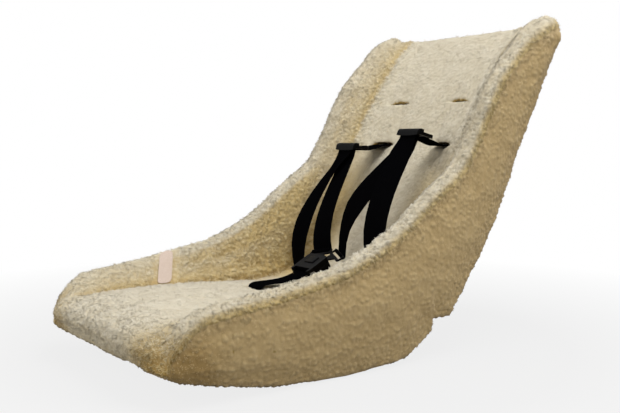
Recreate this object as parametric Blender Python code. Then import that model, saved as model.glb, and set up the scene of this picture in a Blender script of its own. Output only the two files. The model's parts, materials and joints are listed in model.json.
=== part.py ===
"""Baby seat for a cargo bike: a plush-covered foam bucket with a five-point harness.

Units are metres, +Z up. The nose points to -Y and the backrest rises to +Y. The origin is the
middle of the seat's footprint, on the surface that it stands on. Left is the child's left, +X.
"""
import math

import bmesh
import bpy
from mathutils import Matrix, Vector
from mathutils.geometry import interpolate_bezier

# Seat shell
SEAT_LENGTH = 0.620
SEAT_HEIGHT = 0.447
SEAT_WIDTH = 0.344
CREASE_HALF = 0.115
RIM_ROLL = 0.016
WALL_BULGE = 0.003
SIDE_TAPER = 0.006
DISH_DEPTH = 0.020

# Layers from the plush inwards
COVER = 0.008
BOARD = 0.005
GAP = 0.0003
FOAM_GAP = 0.0007
UNDER_COVER = COVER + GAP
UNDER_BOARD = UNDER_COVER + BOARD + GAP
OVERRUN = 0.010

# Webbing and the slots that it passes through
WEBBING_WIDTH = 0.030
WEBBING = 0.0013
SLOT_WIDTH = 0.037
SLOT_GAP = 0.009
SHOULDER_SLOT_X = 0.0635
LOWER_SLOT_Z = 0.270
UPPER_SLOT_Z = 0.333
HIP_SLOT_X = 0.092
HIP_SLOT_SHARE = 0.0935
CROTCH_SLOT_SHARE = -0.132
HIP_SLOT_Y = HIP_SLOT_SHARE * SEAT_LENGTH
CROTCH_SLOT_Y = CROTCH_SLOT_SHARE * SEAT_LENGTH
ROD_DIAMETER = 0.0035
ROD_LENGTH = 0.046
FOLD_TURN = math.radians(255)

# Strap adjusters
ADJUSTER_WIDTH = 0.041
ADJUSTER_LENGTH = 0.027
ADJUSTER_THICKNESS = 0.0045
ADJUSTER_BAR = 0.0032
ADJUSTER_SIDE = 0.0042
ADJUSTER_ROUND = 0.004
ADJUSTER_REACH = {"left": 0.030, "right": 0.038}
ADJUSTER_RISE = {"left": 0.012, "right": -0.004}
ADJUSTER_PITCH = {"left": math.radians(14), "right": math.radians(4)}

# Buckle and its tongues
BUCKLE_SHARE = 0.016
BUCKLE_LIFT = 0.0231
BUCKLE_PITCH = math.radians(28)
BUCKLE_WIDTH = 0.041
BUCKLE_LENGTH = 0.040
BUCKLE_THICKNESS = 0.017
BUCKLE_WALL = 0.002
BUCKLE_ROUND = 0.006
BUCKLE_BAR = 0.0032
BUCKLE_BAR_LENGTH = 0.0375
BUCKLE_BAR_INSET = 0.0045
BUCKLE_NOTCH_WIDTH = 0.0325
CHAMBER_WIDTH = 0.034
CHAMBER_LENGTH = 0.024
BUTTON_WIDTH = 0.018
BUTTON_LENGTH = 0.013
BUTTON_PROUD = 0.0015
BUTTON_FLANGE = 0.0012
BUTTON_LIP = 0.0015
STEM_WIDTH = 0.0036
STEM_LENGTH = 0.006
LATCH_LENGTH = 0.012
LATCH_THICKNESS = 0.0014
PEG = 0.0042
SPRING_DIAMETER = 0.007
SPRING_TOP_DIAMETER = 0.0034
SPRING_WIRE = 0.0004
SPRING_TURNS = 3
SPRING_POINTS_PER_TURN = 12
SCREW_DIAMETER = 0.0024
SCREW_HEAD = 0.004
SCREW_HEAD_DEPTH = 0.0016
SCREW_LENGTH = 0.011
TONGUE = 0.0022
BLADE_WIDTH = 0.011
BLADE_LENGTH = 0.0205
BLADE_CENTRE_X = 0.0085
BLADE_REACH = 0.0165
TONGUE_HEAD_WIDTH = 0.036
TONGUE_HEAD_LENGTH = 0.013
TONGUE_SLOT_WIDTH = 0.031
TONGUE_SLOT = 0.0055
TONGUE_BAR = 0.0034
TONGUE_SPLAY = math.radians(24)
TONGUE_HEAD_X = 0.0185
TONGUE_NECK = 0.004
TONGUE_ROUND = 0.003
TONGUE_PLAY = 0.0012
RUN_CLEARANCE = 0.0004

# How far, and which way, each run of webbing pulls away from its ends before it bends
HIP_PULL = {"left": Vector((0.006, -0.055, 0.085)), "right": Vector((-0.011, -0.018, 0.080))}
HIP_HANG = {"left": 0.030, "right": 0.020}
LAP_HANG = {"left": 0.052, "right": 0.030}
LAP_PULL = {"left": 0.098, "right": 0.055}
LAP_LIFT = math.radians(68)
CROTCH_BEND = 0.012
CROTCH_PULL = 0.035
# How far a run turns about its own length, near its lower end and near the adjuster
HIP_TWIST_SHARES = {"left": (0.5, 1.0), "right": (0.6, -0.8)}
LAP_TWIST_SHARES = {"left": (0.2, 1.0), "right": (0.0, -0.15)}
TWIST_EASE_SHARE = 0.2
TWIST_START_SHARE = 0.1
ROUTE_STEPS = 14
ARC_STEPS = 8

# Zip in the back panel
ZIP_LENGTH = 0.240
ZIP_HEIGHT = 0.100
TAPE_WIDTH = 0.026
TAPE = 0.001
ZIP_LIFT = 0.0006
COIL_WIDTH = 0.0022
COIL_HEIGHT = 0.0016
COIL_SPACING = 0.0003
SLIDER_LENGTH = 0.011
SLIDER_WIDTH = 0.009
SLIDER_HEIGHT = 0.0042
SLIDER_LUG = 0.0032
PULL_LENGTH = 0.028
PULL_WIDTH = 0.0075
PULL = 0.0016
PULL_PIN = 0.0014
STOP_LENGTH = 0.003

# Care label on the right inner wall
LABEL_WIDTH = 0.023
LABEL_SLANT = 0.024
LABEL = 0.0006
LABEL_LIFT = 0.0009
LABEL_SHARE = -0.213

# The seat's outline, station by station from the nose to the top edge. Each row gives the crease
# between floor and wall, the crest of the rim and the outer underside, as (y, z) shares of the
# length and the height, then how far the underside's side edges lie above its middle as a share of
# the height, the dish of the middle as a share of its depth, how many rows run to the next station,
# and whether the underside has a sharp corner there.
STATION_SHARES = [
    ("nose_front", (0.002, 0.132), (0.030, 0.141), (0.020, 0.083), 0.000, 0.00, 1, False),
    ("nose_roll", (0.010, 0.158), (0.039, 0.171), (0.043, 0.069), 0.000, -0.05, 1, False),
    ("nose_top", (0.036, 0.173), (0.057, 0.199), (0.070, 0.059), 0.000, -0.15, 1, False),
    ("calf", (0.081, 0.179), (0.086, 0.230), (0.112, 0.044), 0.000, -0.25, 2, False),
    ("knee", (0.231, 0.182), (0.227, 0.256), (0.238, 0.013), 0.000, -0.40, 2, False),
    ("thigh", (0.401, 0.169), (0.393, 0.300), (0.404, 0.000), 0.000, -0.45, 1, True),
    ("seat", (0.473, 0.163), (0.462, 0.336), (0.526, 0.000), 0.012, -0.40, 1, True),
    ("rump", (0.533, 0.169), (0.519, 0.378), (0.558, 0.000), 0.022, -0.25, 1, True),
    ("hip", (0.573, 0.182), (0.559, 0.416), (0.598, 0.048), 0.008, -0.05, 1, False),
    ("notch_front", (0.593, 0.195), (0.578, 0.437), (0.627, 0.081), 0.000, 0.08, 1, True),
    ("notch_inner", (0.609, 0.208), (0.596, 0.455), (0.627, 0.114), 0.000, 0.20, 1, True),
    ("notch_rear", (0.630, 0.230), (0.617, 0.477), (0.678, 0.114), 0.000, 0.35, 1, True),
    ("back_foot", (0.648, 0.260), (0.638, 0.498), (0.691, 0.143), 0.000, 0.50, 2, False),
    ("waist", (0.707, 0.403), (0.702, 0.564), (0.777, 0.298), 0.000, 0.85, 2, False),
    ("ribs", (0.780, 0.588), (0.749, 0.673), (0.859, 0.506), 0.000, 1.00, 2, False),
    ("shoulder", (0.860, 0.772), (0.806, 0.812), (0.923, 0.714), 0.000, 0.80, 2, False),
    ("head", (0.936, 0.911), (0.901, 0.941), (0.967, 0.852), 0.000, 0.35, 1, False),
    ("crown", (0.969, 0.955), (0.951, 0.981), (0.981, 0.895), 0.000, 0.15, 1, False),
    ("top_edge", (0.998, 0.991), (0.993, 1.000), (0.994, 0.926), 0.000, 0.05, 1, False),
]

# Columns across one half of the inside, from the middle to the crease, and up the wall to the
# rim, as shares of the crease's half width and of the wall.
FLOOR_SHARES = (0.0, 0.40, 0.75, 1.0)
WALL_X_SHARES = (0.28, 0.70)
WALL_RISE_SHARES = (0.24, 0.62)
RIM_ANGLES = tuple(math.radians(a) for a in (150, 95, 40, 0))
SIDE_SHARES = (0.33, 0.70)
HALF = len(FLOOR_SHARES) - 1 + len(WALL_X_SHARES) + len(RIM_ANGLES)
CREASE = len(FLOOR_SHARES) - 1

STEP_DAMPING = 0.01
SIDES = {"left": 1, "right": -1}
AXIS_X = Vector((1, 0, 0))
AXIS_Y = Vector((0, 1, 0))
AXIS_Z = Vector((0, 0, 1))


def clear_scene():
    for thing in list(bpy.data.objects):
        bpy.data.objects.remove(thing, do_unlink=True)


def material(name, colour, roughness, metallic=0.0):
    made = bpy.data.materials.new(name)
    made.use_nodes = True
    shader = made.node_tree.nodes["Principled BSDF"]
    shader.inputs["Base Color"].default_value = (*colour, 1.0)
    shader.inputs["Roughness"].default_value = roughness
    shader.inputs["Metallic"].default_value = metallic
    return made


def add_object(name, mesh_source, finish, parent=None, outward=True):
    """Turns a bmesh into a named object. Its faces are turned outwards first."""
    if outward:
        bmesh.ops.recalc_face_normals(mesh_source, faces=mesh_source.faces)
    mesh = bpy.data.meshes.new(name)
    mesh_source.to_mesh(mesh)
    mesh_source.free()
    made = bpy.data.objects.new(name, mesh)
    bpy.context.scene.collection.objects.link(made)
    made.data.materials.append(material(name, *finish))
    made.parent = parent
    return made


def frame_at(name, place, turn=None):
    """An empty that carries the pieces built around one place."""
    made = bpy.data.objects.new(name, None)
    bpy.context.scene.collection.objects.link(made)
    made.matrix_world = Matrix.Translation(place) @ (turn or Matrix.Identity(3)).to_4x4()
    return made


# The seat's skin

def smooth_curve(points, steps, sharp):
    """A smooth line through the points, with straight runs beside the sharp ones."""
    out = [points[0]]
    last = len(points) - 1
    for i in range(last):
        here, there = points[i], points[i + 1]
        run = there - here
        before = run if i == 0 or sharp[i] else there - points[i - 1]
        after = run if i + 1 == last or sharp[i + 1] else points[i + 2] - here
        reach = run.length / 3
        curve = interpolate_bezier(here, here + before.normalized() * reach,
                                   there - after.normalized() * reach, there, steps[i] + 1)
        out += curve[1:]
    return out


def seat_rows():
    """The crease, rim and outer lines, each row's edge lift and dish, and each station's row."""
    steps = [row[6] for row in STATION_SHARES]
    sharp = [row[7] for row in STATION_SHARES]
    none = [False] * len(sharp)

    def line(column, corners):
        places = [Vector((0, (row[column][0] - 0.5) * SEAT_LENGTH, row[column][1] * SEAT_HEIGHT))
                  for row in STATION_SHARES]
        return smooth_curve(places, steps, corners)

    def level(column, size):
        values = smooth_curve([AXIS_Z * row[column] for row in STATION_SHARES], steps, none)
        return [value.z * size for value in values]

    index, row_of = 0, {}
    for row in STATION_SHARES:
        row_of[row[0]] = index
        index += row[6]
    lines = line(1, none), line(2, none), line(3, sharp)
    return *lines, level(4, SEAT_HEIGHT), level(5, DISH_DEPTH), row_of


def inside_points(crease, rim, outer, dish):
    """Half of one row across the inside, from the middle over the rim to the side seam."""
    inward = (outer - crease).normalized()
    points = []
    for share in FLOOR_SHARES:
        drop = inward * dish * (1 - share * share)
        points.append(crease + drop + AXIS_X * CREASE_HALF * share)
    roll = min(RIM_ROLL, (rim - outer).length * 0.45)
    rise = (rim - outer).normalized()
    centre = rim - rise * roll + AXIS_X * (SEAT_WIDTH / 2 - roll)
    arc = [centre + AXIS_X * roll * math.cos(a) + rise * roll * math.sin(a) for a in RIM_ANGLES]
    foot, head = points[-1], arc[0]
    for across, up in zip(WALL_X_SHARES, WALL_RISE_SHARES):
        place = foot.lerp(head, up)
        place.x = foot.x + (head.x - foot.x) * across
        points.append(place)
    return points + arc


def side_points(seam, corner):
    """The side wall between the rim's seam and the bottom seam."""
    points = []
    for share in SIDE_SHARES:
        place = seam.lerp(corner, share)
        place.x = seam.x + WALL_BULGE * 4 * share * (1 - share)
        points.append(place)
    return points


def mirrored(point):
    return Vector((-point.x, point.y, point.z))


class Skin:
    """The seat's closed outer surface, with a way to go any depth below it."""

    def __init__(self):
        crease, rim, outer, lift, dish, self.row_of = seat_rows()
        self.count = len(crease)
        self.bm = bmesh.new()
        self.inward = {}
        self.top, self.bottom = [], []
        self.side = {1: [], -1: []}
        for row in range(self.count):
            half = inside_points(crease[row], rim[row], outer[row], dish[row])
            corner = outer[row] + AXIS_X * (SEAT_WIDTH / 2 - SIDE_TAPER) + AXIS_Z * lift[row]
            under = [outer[row] + AXIS_X * CREASE_HALF * share for share in FLOOR_SHARES]
            spans = HALF - CREASE
            under += [under[-1].lerp(corner, (i + 1) / spans) for i in range(spans)]
            side = side_points(half[-1], corner)
            self.top.append(self.spread(half))
            self.bottom.append(self.spread(under))
            for sign in (1, -1):
                edge = 2 * HALF if sign > 0 else 0
                middle = [self.bm.verts.new(p if sign > 0 else mirrored(p)) for p in side]
                self.side[sign].append([self.top[row][edge], *middle, self.bottom[row][edge]])
        self.close()
        bmesh.ops.recalc_face_normals(self.bm, faces=self.bm.faces)
        self.bm.normal_update()

    def spread(self, half):
        """One whole row of vertices from the points of its +X half."""
        right = [self.bm.verts.new(mirrored(p)) for p in reversed(half[1:])]
        return right + [self.bm.verts.new(p) for p in half]

    def close(self):
        for grid in (self.top, self.bottom, self.side[1], self.side[-1]):
            for near, far in zip(grid, grid[1:]):
                for i in range(len(near) - 1):
                    self.bm.faces.new((near[i], near[i + 1], far[i + 1], far[i]))
        for row in (0, self.count - 1):
            top, bottom = self.top[row], self.bottom[row]
            for i in range(2 * HALF):
                ends = [bottom[i + 1], bottom[i]]
                if i == 0:
                    ends += self.side[-1][row][-2:0:-1]
                if i == 2 * HALF - 1:
                    ends = self.side[1][row][1:-1] + ends
                self.bm.faces.new((top[i], top[i + 1], *ends))

    def below(self, vert, depth):
        """The place at a depth under a skin vertex, measured square to the faces around it."""
        if vert not in self.inward:
            self.inward[vert] = inward_step(vert)
        return vert.co + self.inward[vert] * depth

    def outward(self, vert):
        self.below(vert, 0)
        return self.inward[vert] * -1


def inward_step(vert):
    """The step that goes one unit below each face round a vertex, as nearly as it can."""
    normals = [face.normal for face in vert.link_faces]
    square = Matrix.Identity(3) * STEP_DAMPING * len(normals)
    for n in normals:
        square += Matrix([n * n.x, n * n.y, n * n.z])
    mean = sum(normals, Vector())
    step = square.inverted() @ (mean * -(1 + STEP_DAMPING))
    return step


def pull_in(sheet):
    """Draws the edges of a sheet back by half a gap, so that two panels meet with a gap."""
    moved = [[p.copy() for p in row] for row in sheet]

    def draw(row, column, to_row, to_column):
        away = sheet[to_row][to_column] - sheet[row][column]
        moved[row][column] += away.normalized() * GAP / 2

    for i in range(len(sheet)):
        draw(i, 0, i, 1)
        draw(i, -1, i, -2)
    for j in range(len(sheet[0])):
        draw(0, j, 1, j)
        draw(-1, j, -2, j)
    return moved


def add_cell(bm, a, b, c, d, away):
    """Two triangles across four corners, folded along the diagonal that lies further out.

    A cell that is flat to within a gap folds along its shorter diagonal."""
    ridge = (a.co + c.co - b.co - d.co).dot(away.normalized())
    if abs(ridge) < GAP:
        ridge = (b.co - d.co).length - (a.co - c.co).length
    corners = (a, b, c), (a, c, d)
    if ridge < 0:
        corners = (b, c, d), (b, d, a)
    for triangle in corners:
        bm.faces.new(triangle)


def solid_between(outer, inner):
    """A closed solid between two sheets of points with the same rows and columns."""
    bm = bmesh.new()
    grids = [[[bm.verts.new(p) for p in row] for row in sheet] for sheet in (outer, inner)]
    rows, columns = len(outer), len(outer[0])
    for g in grids:
        for i in range(rows - 1):
            for j in range(columns - 1):
                away = outer[i][j] - inner[i][j] + outer[i + 1][j + 1] - inner[i + 1][j + 1]
                add_cell(bm, g[i][j], g[i][j + 1], g[i + 1][j + 1], g[i + 1][j], away)
    rim = [(0, j) for j in range(columns)] + [(i, columns - 1) for i in range(1, rows)]
    rim += [(rows - 1, j) for j in range(columns - 2, -1, -1)] + [(i, 0) for i in range(rows - 2, 0, -1)]
    for (a, b), (c, d) in zip(rim, rim[1:] + rim[:1]):
        corners = [grids[0][a][b], grids[0][c][d], grids[1][c][d], grids[1][a][b]]
        if edge_order(corners[1]) < edge_order(corners[0]):
            corners = corners[1:] + corners[:1]
        bm.faces.new(corners[:3])
        bm.faces.new((corners[0], *corners[2:]))
    return bm


def edge_order(vert):
    """Ranks the points along a seam, so that the panels on both sides of it fold alike."""
    return vert.co.y + abs(vert.co.x) / 100


def panel(name, skin, verts, outer, inner, finish):
    """A panel of even thickness between two depths under the skin."""
    sheets = [pull_in([[skin.below(v, depth) for v in row] for row in verts])
              for depth in (outer, inner)]
    return add_object(name, solid_between(*sheets), finish)


def loft(rings, facing=None):
    """A closed solid through rings of points, with flat ends.

    'facing' gives each ring the outward way of each of its cells."""
    bm = bmesh.new()
    loops = [[bm.verts.new(p) for p in ring] for ring in rings]
    count = len(rings[0])
    for k, (near, far) in enumerate(zip(loops, loops[1:])):
        for i in range(count):
            corners = near[i], near[(i + 1) % count], far[(i + 1) % count], far[i]
            way = facing[k][i] + facing[k + 1][i] if facing else Vector()
            add_cell(bm, *corners, way)
    for end in (loops[0], loops[-1]):
        cap = bm.faces.new(end)
        cap.normal_update()
        bmesh.ops.triangulate(bm, faces=[cap])
    return bm


def end_gaps(rings, at_start, at_end):
    """Draws the first or last ring back by half a gap, where a piece meets its neighbour."""
    for wanted, end, inner in ((at_start, 0, 1), (at_end, -1, -2)):
        if wanted:
            rings[end] = [p + (q - p).normalized() * GAP / 2 for p, q in zip(rings[end], rings[inner])]
    return rings


# Covers, foam and boards

PLUSH = ((0.78, 0.66, 0.47), 0.95)
PLUSH_BACK = ((0.70, 0.55, 0.36), 0.95)
FOAM = ((0.86, 0.84, 0.78), 0.9)
WOOD = ((0.72, 0.55, 0.36), 0.6)
STRAP = ((0.010, 0.010, 0.011), 0.85)
BLACK = ((0.014, 0.014, 0.016), 0.35)
STEEL = ((0.62, 0.62, 0.63), 0.3, 1.0)
RIBBON = ((0.80, 0.62, 0.58), 0.8)

MIDDLE_COLUMNS = [HALF - CREASE + i for i in range(2 * CREASE + 1)]


def pick(row, columns):
    return [row[i] for i in columns]


def make_covers(skin):
    split = skin.row_of["notch_inner"]
    inside = [skin.bottom[0]] + skin.top + [skin.bottom[-1]]
    panels = {
        "cover_liner": panel("cover_liner", skin, inside, 0, COVER, PLUSH),
        "cover_base": panel("cover_base", skin, skin.bottom[:split + 1], 0, COVER, PLUSH_BACK),
        "cover_back": panel("cover_back", skin, skin.bottom[split:], 0, COVER, PLUSH_BACK),
    }
    for side, sign in SIDES.items():
        name = "cover_side_" + side
        panels[name] = panel(name, skin, skin.side[sign], 0, COVER, PLUSH_BACK)
    return panels


def board_rows(skin):
    rows = skin.row_of
    return {"base_board": (rows["calf"] + 1, rows["notch_front"]),
            "back_board": (rows["back_foot"] + 1, rows["shoulder"] + 1)}


def make_boards(skin):
    boards = {}
    for name, (first, last) in board_rows(skin).items():
        verts = [pick(row, MIDDLE_COLUMNS) for row in skin.bottom[first:last + 1]]
        boards[name] = panel(name, skin, verts, UNDER_COVER, UNDER_COVER + BOARD, WOOD)
    return boards


def under_depth(skin, row):
    """How deep the foam starts above the underside: below the cover, or below a board too."""
    for first, last in board_rows(skin).values():
        if first <= row <= last:
            return UNDER_BOARD
    return UNDER_COVER


def middle_ring(skin, row):
    top = [skin.below(v, UNDER_COVER) for v in pick(skin.top[row], MIDDLE_COLUMNS)]
    verts = pick(skin.bottom[row], MIDDLE_COLUMNS)[::-1]
    depth = under_depth(skin, row)
    under = [skin.below(v, depth) for v in verts]
    for end, above in ((0, top[-1]), (-1, top[0])):
        foot, normal = skin.below(verts[end], UNDER_COVER), verts[end].normal
        share = (under[end] - foot).dot(normal) / (above - foot).dot(normal)
        foot.x = above.x
        under[end] = foot.lerp(above, share)
    for point, sign in ((top[0], -1), (top[-1], 1), (under[0], 1), (under[-1], -1)):
        point.x -= sign * FOAM_GAP / 2
    ways = [skin.outward(v) for v in pick(skin.top[row], MIDDLE_COLUMNS) + verts]
    return top + under, cell_ways(ways, {len(top) - 1: AXIS_X, len(ways) - 1: AXIS_X * -1})


def cell_ways(ways, joints):
    """The outward way of each cell of a ring. A joint's cell folds as its neighbour's does."""
    out = [ways[i] + ways[(i + 1) % len(ways)] for i in range(len(ways))]
    for i, way in joints.items():
        out[i] = way
    return out


def side_ring(skin, row, sign):
    columns = [HALF + sign * i for i in range(CREASE, HALF + 1)]
    verts = pick(skin.top[row], columns) + skin.side[sign][row][1:]
    verts += pick(skin.bottom[row], columns[-2::-1])
    ring = [skin.below(v, UNDER_COVER) for v in verts]
    ring[0].x += sign * FOAM_GAP / 2
    ring[-1] = ring[-1].lerp(ring[-2], (ring[0].x - ring[-1].x) / (ring[-2].x - ring[-1].x))
    return ring, cell_ways([skin.outward(v) for v in verts], {len(verts) - 1: AXIS_X * sign})


def make_foam(skin):
    split = skin.row_of["notch_inner"]
    foam = {}
    spans = (("foam_floor", 0, split), ("foam_backrest", split, skin.count - 1))
    for name, first, last in spans:
        rings, facing = zip(*[middle_ring(skin, row) for row in range(first, last + 1)])
        rings = end_gaps(list(rings), first == split, last == split)
        foam[name] = add_object(name, loft(rings, facing), FOAM)
    for side, sign in SIDES.items():
        rings, facing = zip(*[side_ring(skin, row, sign) for row in range(skin.count)])
        foam["foam_side_" + side] = add_object("foam_side_" + side, loft(rings, facing), FOAM)
    return foam


# Slots for the webbing

def box(bm, centre, size, turn=None):
    """Adds a box to a bmesh. The box is turned about its own centre."""
    place = Matrix.Translation(centre) @ (turn or Matrix.Identity(3)).to_4x4()
    scale = Matrix.Diagonal((*size, 1.0))
    return bmesh.ops.create_cube(bm, size=1.0, matrix=place @ scale)


def cut(target, cutters):
    """Cuts boxes out of a piece. Each cutter is a centre, a size and a turn."""
    bm = bmesh.new()
    for cutter in cutters:
        box(bm, *cutter)
    tool = add_object("cut_" + target.name, bm, FOAM)
    tool.hide_render = True
    tool.display_type = "WIRE"
    cutting = target.modifiers.new("slots", "BOOLEAN")
    cutting.operation = "DIFFERENCE"
    cutting.solver = "EXACT"
    cutting.object = tool


def back_at(skin, height):
    """The point of the outer back line at a height, and the back's outward normal there."""
    return line_at(skin, height, "back_foot", "top_edge", 2)


def line_at(skin, value, first, last, axis):
    """Reads the outer line where its y (axis 1) or z (axis 2) has a value."""
    rows = skin.bottom[skin.row_of[first]:skin.row_of[last] + 1]
    line = [row[HALF].co for row in rows]
    for here, there in zip(line, line[1:]):
        if here[axis] <= value <= there[axis]:
            share = (value - here[axis]) / (there[axis] - here[axis])
            run = (there - here).normalized()
            return here.lerp(there, share), run.cross(AXIS_X)
    raise ValueError("the outer line doesn't reach %.3f" % value)


def slot_cutters():
    """The four shoulder slots run straight from front to back, the floor slots straight down."""
    shoulder_size = (SLOT_WIDTH, SEAT_LENGTH, SLOT_GAP)
    shoulders = [(Vector((sign * SHOULDER_SLOT_X, SEAT_LENGTH / 2, height)), shoulder_size, None)
                 for sign in SIDES.values() for height in (LOWER_SLOT_Z, UPPER_SLOT_Z)]
    floor_size = (SLOT_WIDTH, SLOT_GAP, SEAT_HEIGHT / 2)
    places = [(0.0, CROTCH_SLOT_Y)] + [(sign * HIP_SLOT_X, HIP_SLOT_Y) for sign in SIDES.values()]
    middle = UNDER_COVER - OVERRUN / 10 + floor_size[2] / 2
    floor = [(Vector((x, y, middle)), floor_size, None) for x, y in places]
    return shoulders, floor


def cut_slots(pieces, anchors):
    shoulders, floor = slot_cutters()
    for name in ("cover_back", "back_board", "foam_backrest"):
        cut(pieces[name], shoulders)
    for name in ("base_board", "foam_floor"):
        cut(pieces[name], floor)
    cut(pieces["cover_liner"], shoulders + floor)
    cut(pieces["cover_base"], [anchor.pocket() for anchor in anchors if anchor.in_cover])


# Webbing

def hold_radius(bar_radius):
    """The radius of a webbing's middle where it turns round a bar."""
    return bar_radius + GAP + WEBBING / 2


def fold(centre, leaving, turn_side, radius, turn=FOLD_TURN):
    """Points round a bar from the webbing's sewn end to where it runs off along 'leaving'."""
    out = leaving.normalized()
    side = turn_side.normalized()
    points = []
    for i in range(2 * ARC_STEPS + 1):
        angle = turn * (1 - i / (2 * ARC_STEPS))
        points.append(centre + side * radius * math.cos(angle) - out * radius * math.sin(angle))
    return points


def swept_strap(name, route, widths, finish=STRAP):
    """A flat strap along a route, with the direction of its width at each point."""
    rings = []
    last = len(route) - 1
    for i, (place, across) in enumerate(zip(route, widths)):
        before = (place - route[i - 1]).normalized() if i else Vector()
        after = (route[i + 1] - place).normalized() if i < last else Vector()
        along = (before + after).normalized()
        mitre = 1.0
        if before.length and after.length:
            mitre = 1 / max(0.6, along.dot(after))
        width = (across - along * across.dot(along)).normalized() * WEBBING_WIDTH / 2
        thick = along.cross(width).normalized() * WEBBING / 2 * mitre
        rings.append([place - width - thick, place + width - thick,
                      place + width + thick, place - width + thick])
    return add_object(name, loft(rings), finish)


def bezier(start, start_pull, end, end_pull, steps):
    """Points of a smooth run, without its first point."""
    return list(interpolate_bezier(start, start + start_pull, end + end_pull, end, steps + 1))[1:]


class Anchor:
    """A steel rod behind a slot, held against a face by the webbing that turns round it."""

    def __init__(self, name, face, normal, leaving, axis, in_cover):
        self.name, self.normal, self.leaving, self.in_cover = name, normal, leaving, in_cover
        self.side = AXIS_X.cross(leaving).normalized()
        self.along = AXIS_X.cross(normal).normalized()
        self.radius = hold_radius(ROD_DIAMETER / 2)
        off = self.radius + WEBBING / 2 + GAP
        self.centre = face + normal * off
        missing = (axis - self.centre).dot(self.side) - self.radius
        self.centre += self.along * missing / self.along.dot(self.side)

    def rod(self):
        bm = bmesh.new()
        bmesh.ops.create_cone(bm, cap_ends=True, segments=12, radius1=ROD_DIAMETER / 2,
                              radius2=ROD_DIAMETER / 2, depth=ROD_LENGTH,
                              matrix=Matrix.Translation(self.centre) @ Matrix.Rotation(math.pi / 2, 4, "Y"))
        return add_object(self.name, bm, STEEL)

    def fold(self):
        return fold(self.centre, self.leaving, self.side, self.radius)

    def pocket(self):
        """The hollow in the cover that the rod and the turned webbing lie in."""
        reach = self.radius + WEBBING / 2 + GAP
        matrix = Matrix((AXIS_X, self.along * -1, self.normal)).transposed()
        size = (ROD_LENGTH + 4 * GAP, 2 * reach, 2 * reach + OVERRUN)
        return (self.centre - self.normal * OVERRUN / 2, size, matrix)


def shoulder_anchor(skin, side):
    face, normal = back_at(skin, LOWER_SLOT_Z)
    face = face + AXIS_X * SIDES[side] * SHOULDER_SLOT_X
    axis = Vector((face.x, 0, LOWER_SLOT_Z))
    return Anchor("shoulder_anchor_rod_" + side, face, normal, Vector((0, -1, 0)), axis, False)


def floor_anchor(skin, name, x, y):
    face, normal = line_at(skin, y, "nose_roll", "notch_front", 1)
    face = face - normal * UNDER_COVER + AXIS_X * x
    return Anchor(name, face, normal, AXIS_Z, Vector((x, y, 0)), True)


# Adjusters

class Adjuster:
    """A two-window strap slide. Its frame's origin is its rear bar, which the short strap holds."""

    def __init__(self, skin, side):
        self.side = side
        mouth_y = front_of_back(skin, LOWER_SLOT_Z)
        lift = Vector((0, -ADJUSTER_REACH[side], ADJUSTER_RISE[side]))
        self.mouth = Vector((SIDES[side] * SHOULDER_SLOT_X, mouth_y, LOWER_SLOT_Z))
        self.origin = self.mouth + lift
        pitch = ADJUSTER_PITCH[side]
        self.out = Vector((0, -math.cos(pitch), math.sin(pitch)))
        self.up = AXIS_X.cross(self.out) * -1
        self.turn = Matrix((AXIS_X, -self.out, self.up)).transposed()
        self.bar_radius = math.hypot(ADJUSTER_BAR, ADJUSTER_THICKNESS * 0.7) / 2
        self.pitch_of_bars = (ADJUSTER_LENGTH - ADJUSTER_BAR) / 2

    def front_bar(self):
        return self.origin + self.out * 2 * self.pitch_of_bars

    def make(self):
        frame = frame_at("adjuster_frame_" + self.side, self.origin, self.turn)
        bm = bmesh.new()
        middle = Vector((0, -self.pitch_of_bars, 0))
        box(bm, middle, (ADJUSTER_WIDTH, ADJUSTER_LENGTH, ADJUSTER_THICKNESS))
        upright = [e for e in bm.edges if abs(e.verts[0].co.z - e.verts[1].co.z) > ADJUSTER_THICKNESS / 2]
        bmesh.ops.bevel(bm, geom=upright, offset=ADJUSTER_ROUND, segments=3, profile=0.5, affect="EDGES")
        made = add_object("adjuster_" + self.side, bm, BLACK, frame)
        window = (ADJUSTER_WIDTH - 2 * ADJUSTER_SIDE, self.pitch_of_bars - ADJUSTER_BAR,
                  ADJUSTER_THICKNESS + OVERRUN)
        relief = (window[0], ADJUSTER_LENGTH + OVERRUN, ADJUSTER_THICKNESS)
        lift = ADJUSTER_THICKNESS * 0.85
        tool = bmesh.new()
        for i in (0.5, 1.5):
            box(tool, Vector((0, -self.pitch_of_bars * i, 0)), window)
        cutter = add_object("cut_adjuster_" + self.side, tool, BLACK, frame)
        reliefs = bmesh.new()
        for sign in (1, -1):
            box(reliefs, Vector((0, -self.pitch_of_bars, sign * lift)), relief)
        lower = add_object("cut_adjuster_relief_" + self.side, reliefs, BLACK, frame)
        for tool_object in (cutter, lower):
            tool_object.hide_render = True
            tool_object.display_type = "WIRE"
            cutting = made.modifiers.new("windows", "BOOLEAN")
            cutting.operation = "DIFFERENCE"
            cutting.solver = "EXACT"
            cutting.object = tool_object
        return made


def front_of_back(skin, height):
    """Where the inside of the backrest lies in front of a slot at a height."""
    column = HALF + 2
    line = [row[column].co for row in skin.top[skin.row_of["back_foot"]:]]
    for here, there in zip(line, line[1:]):
        if here.z <= height <= there.z:
            return here.lerp(there, (height - here.z) / (there.z - here.z)).y
    raise ValueError("the backrest doesn't reach %.3f" % height)


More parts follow.
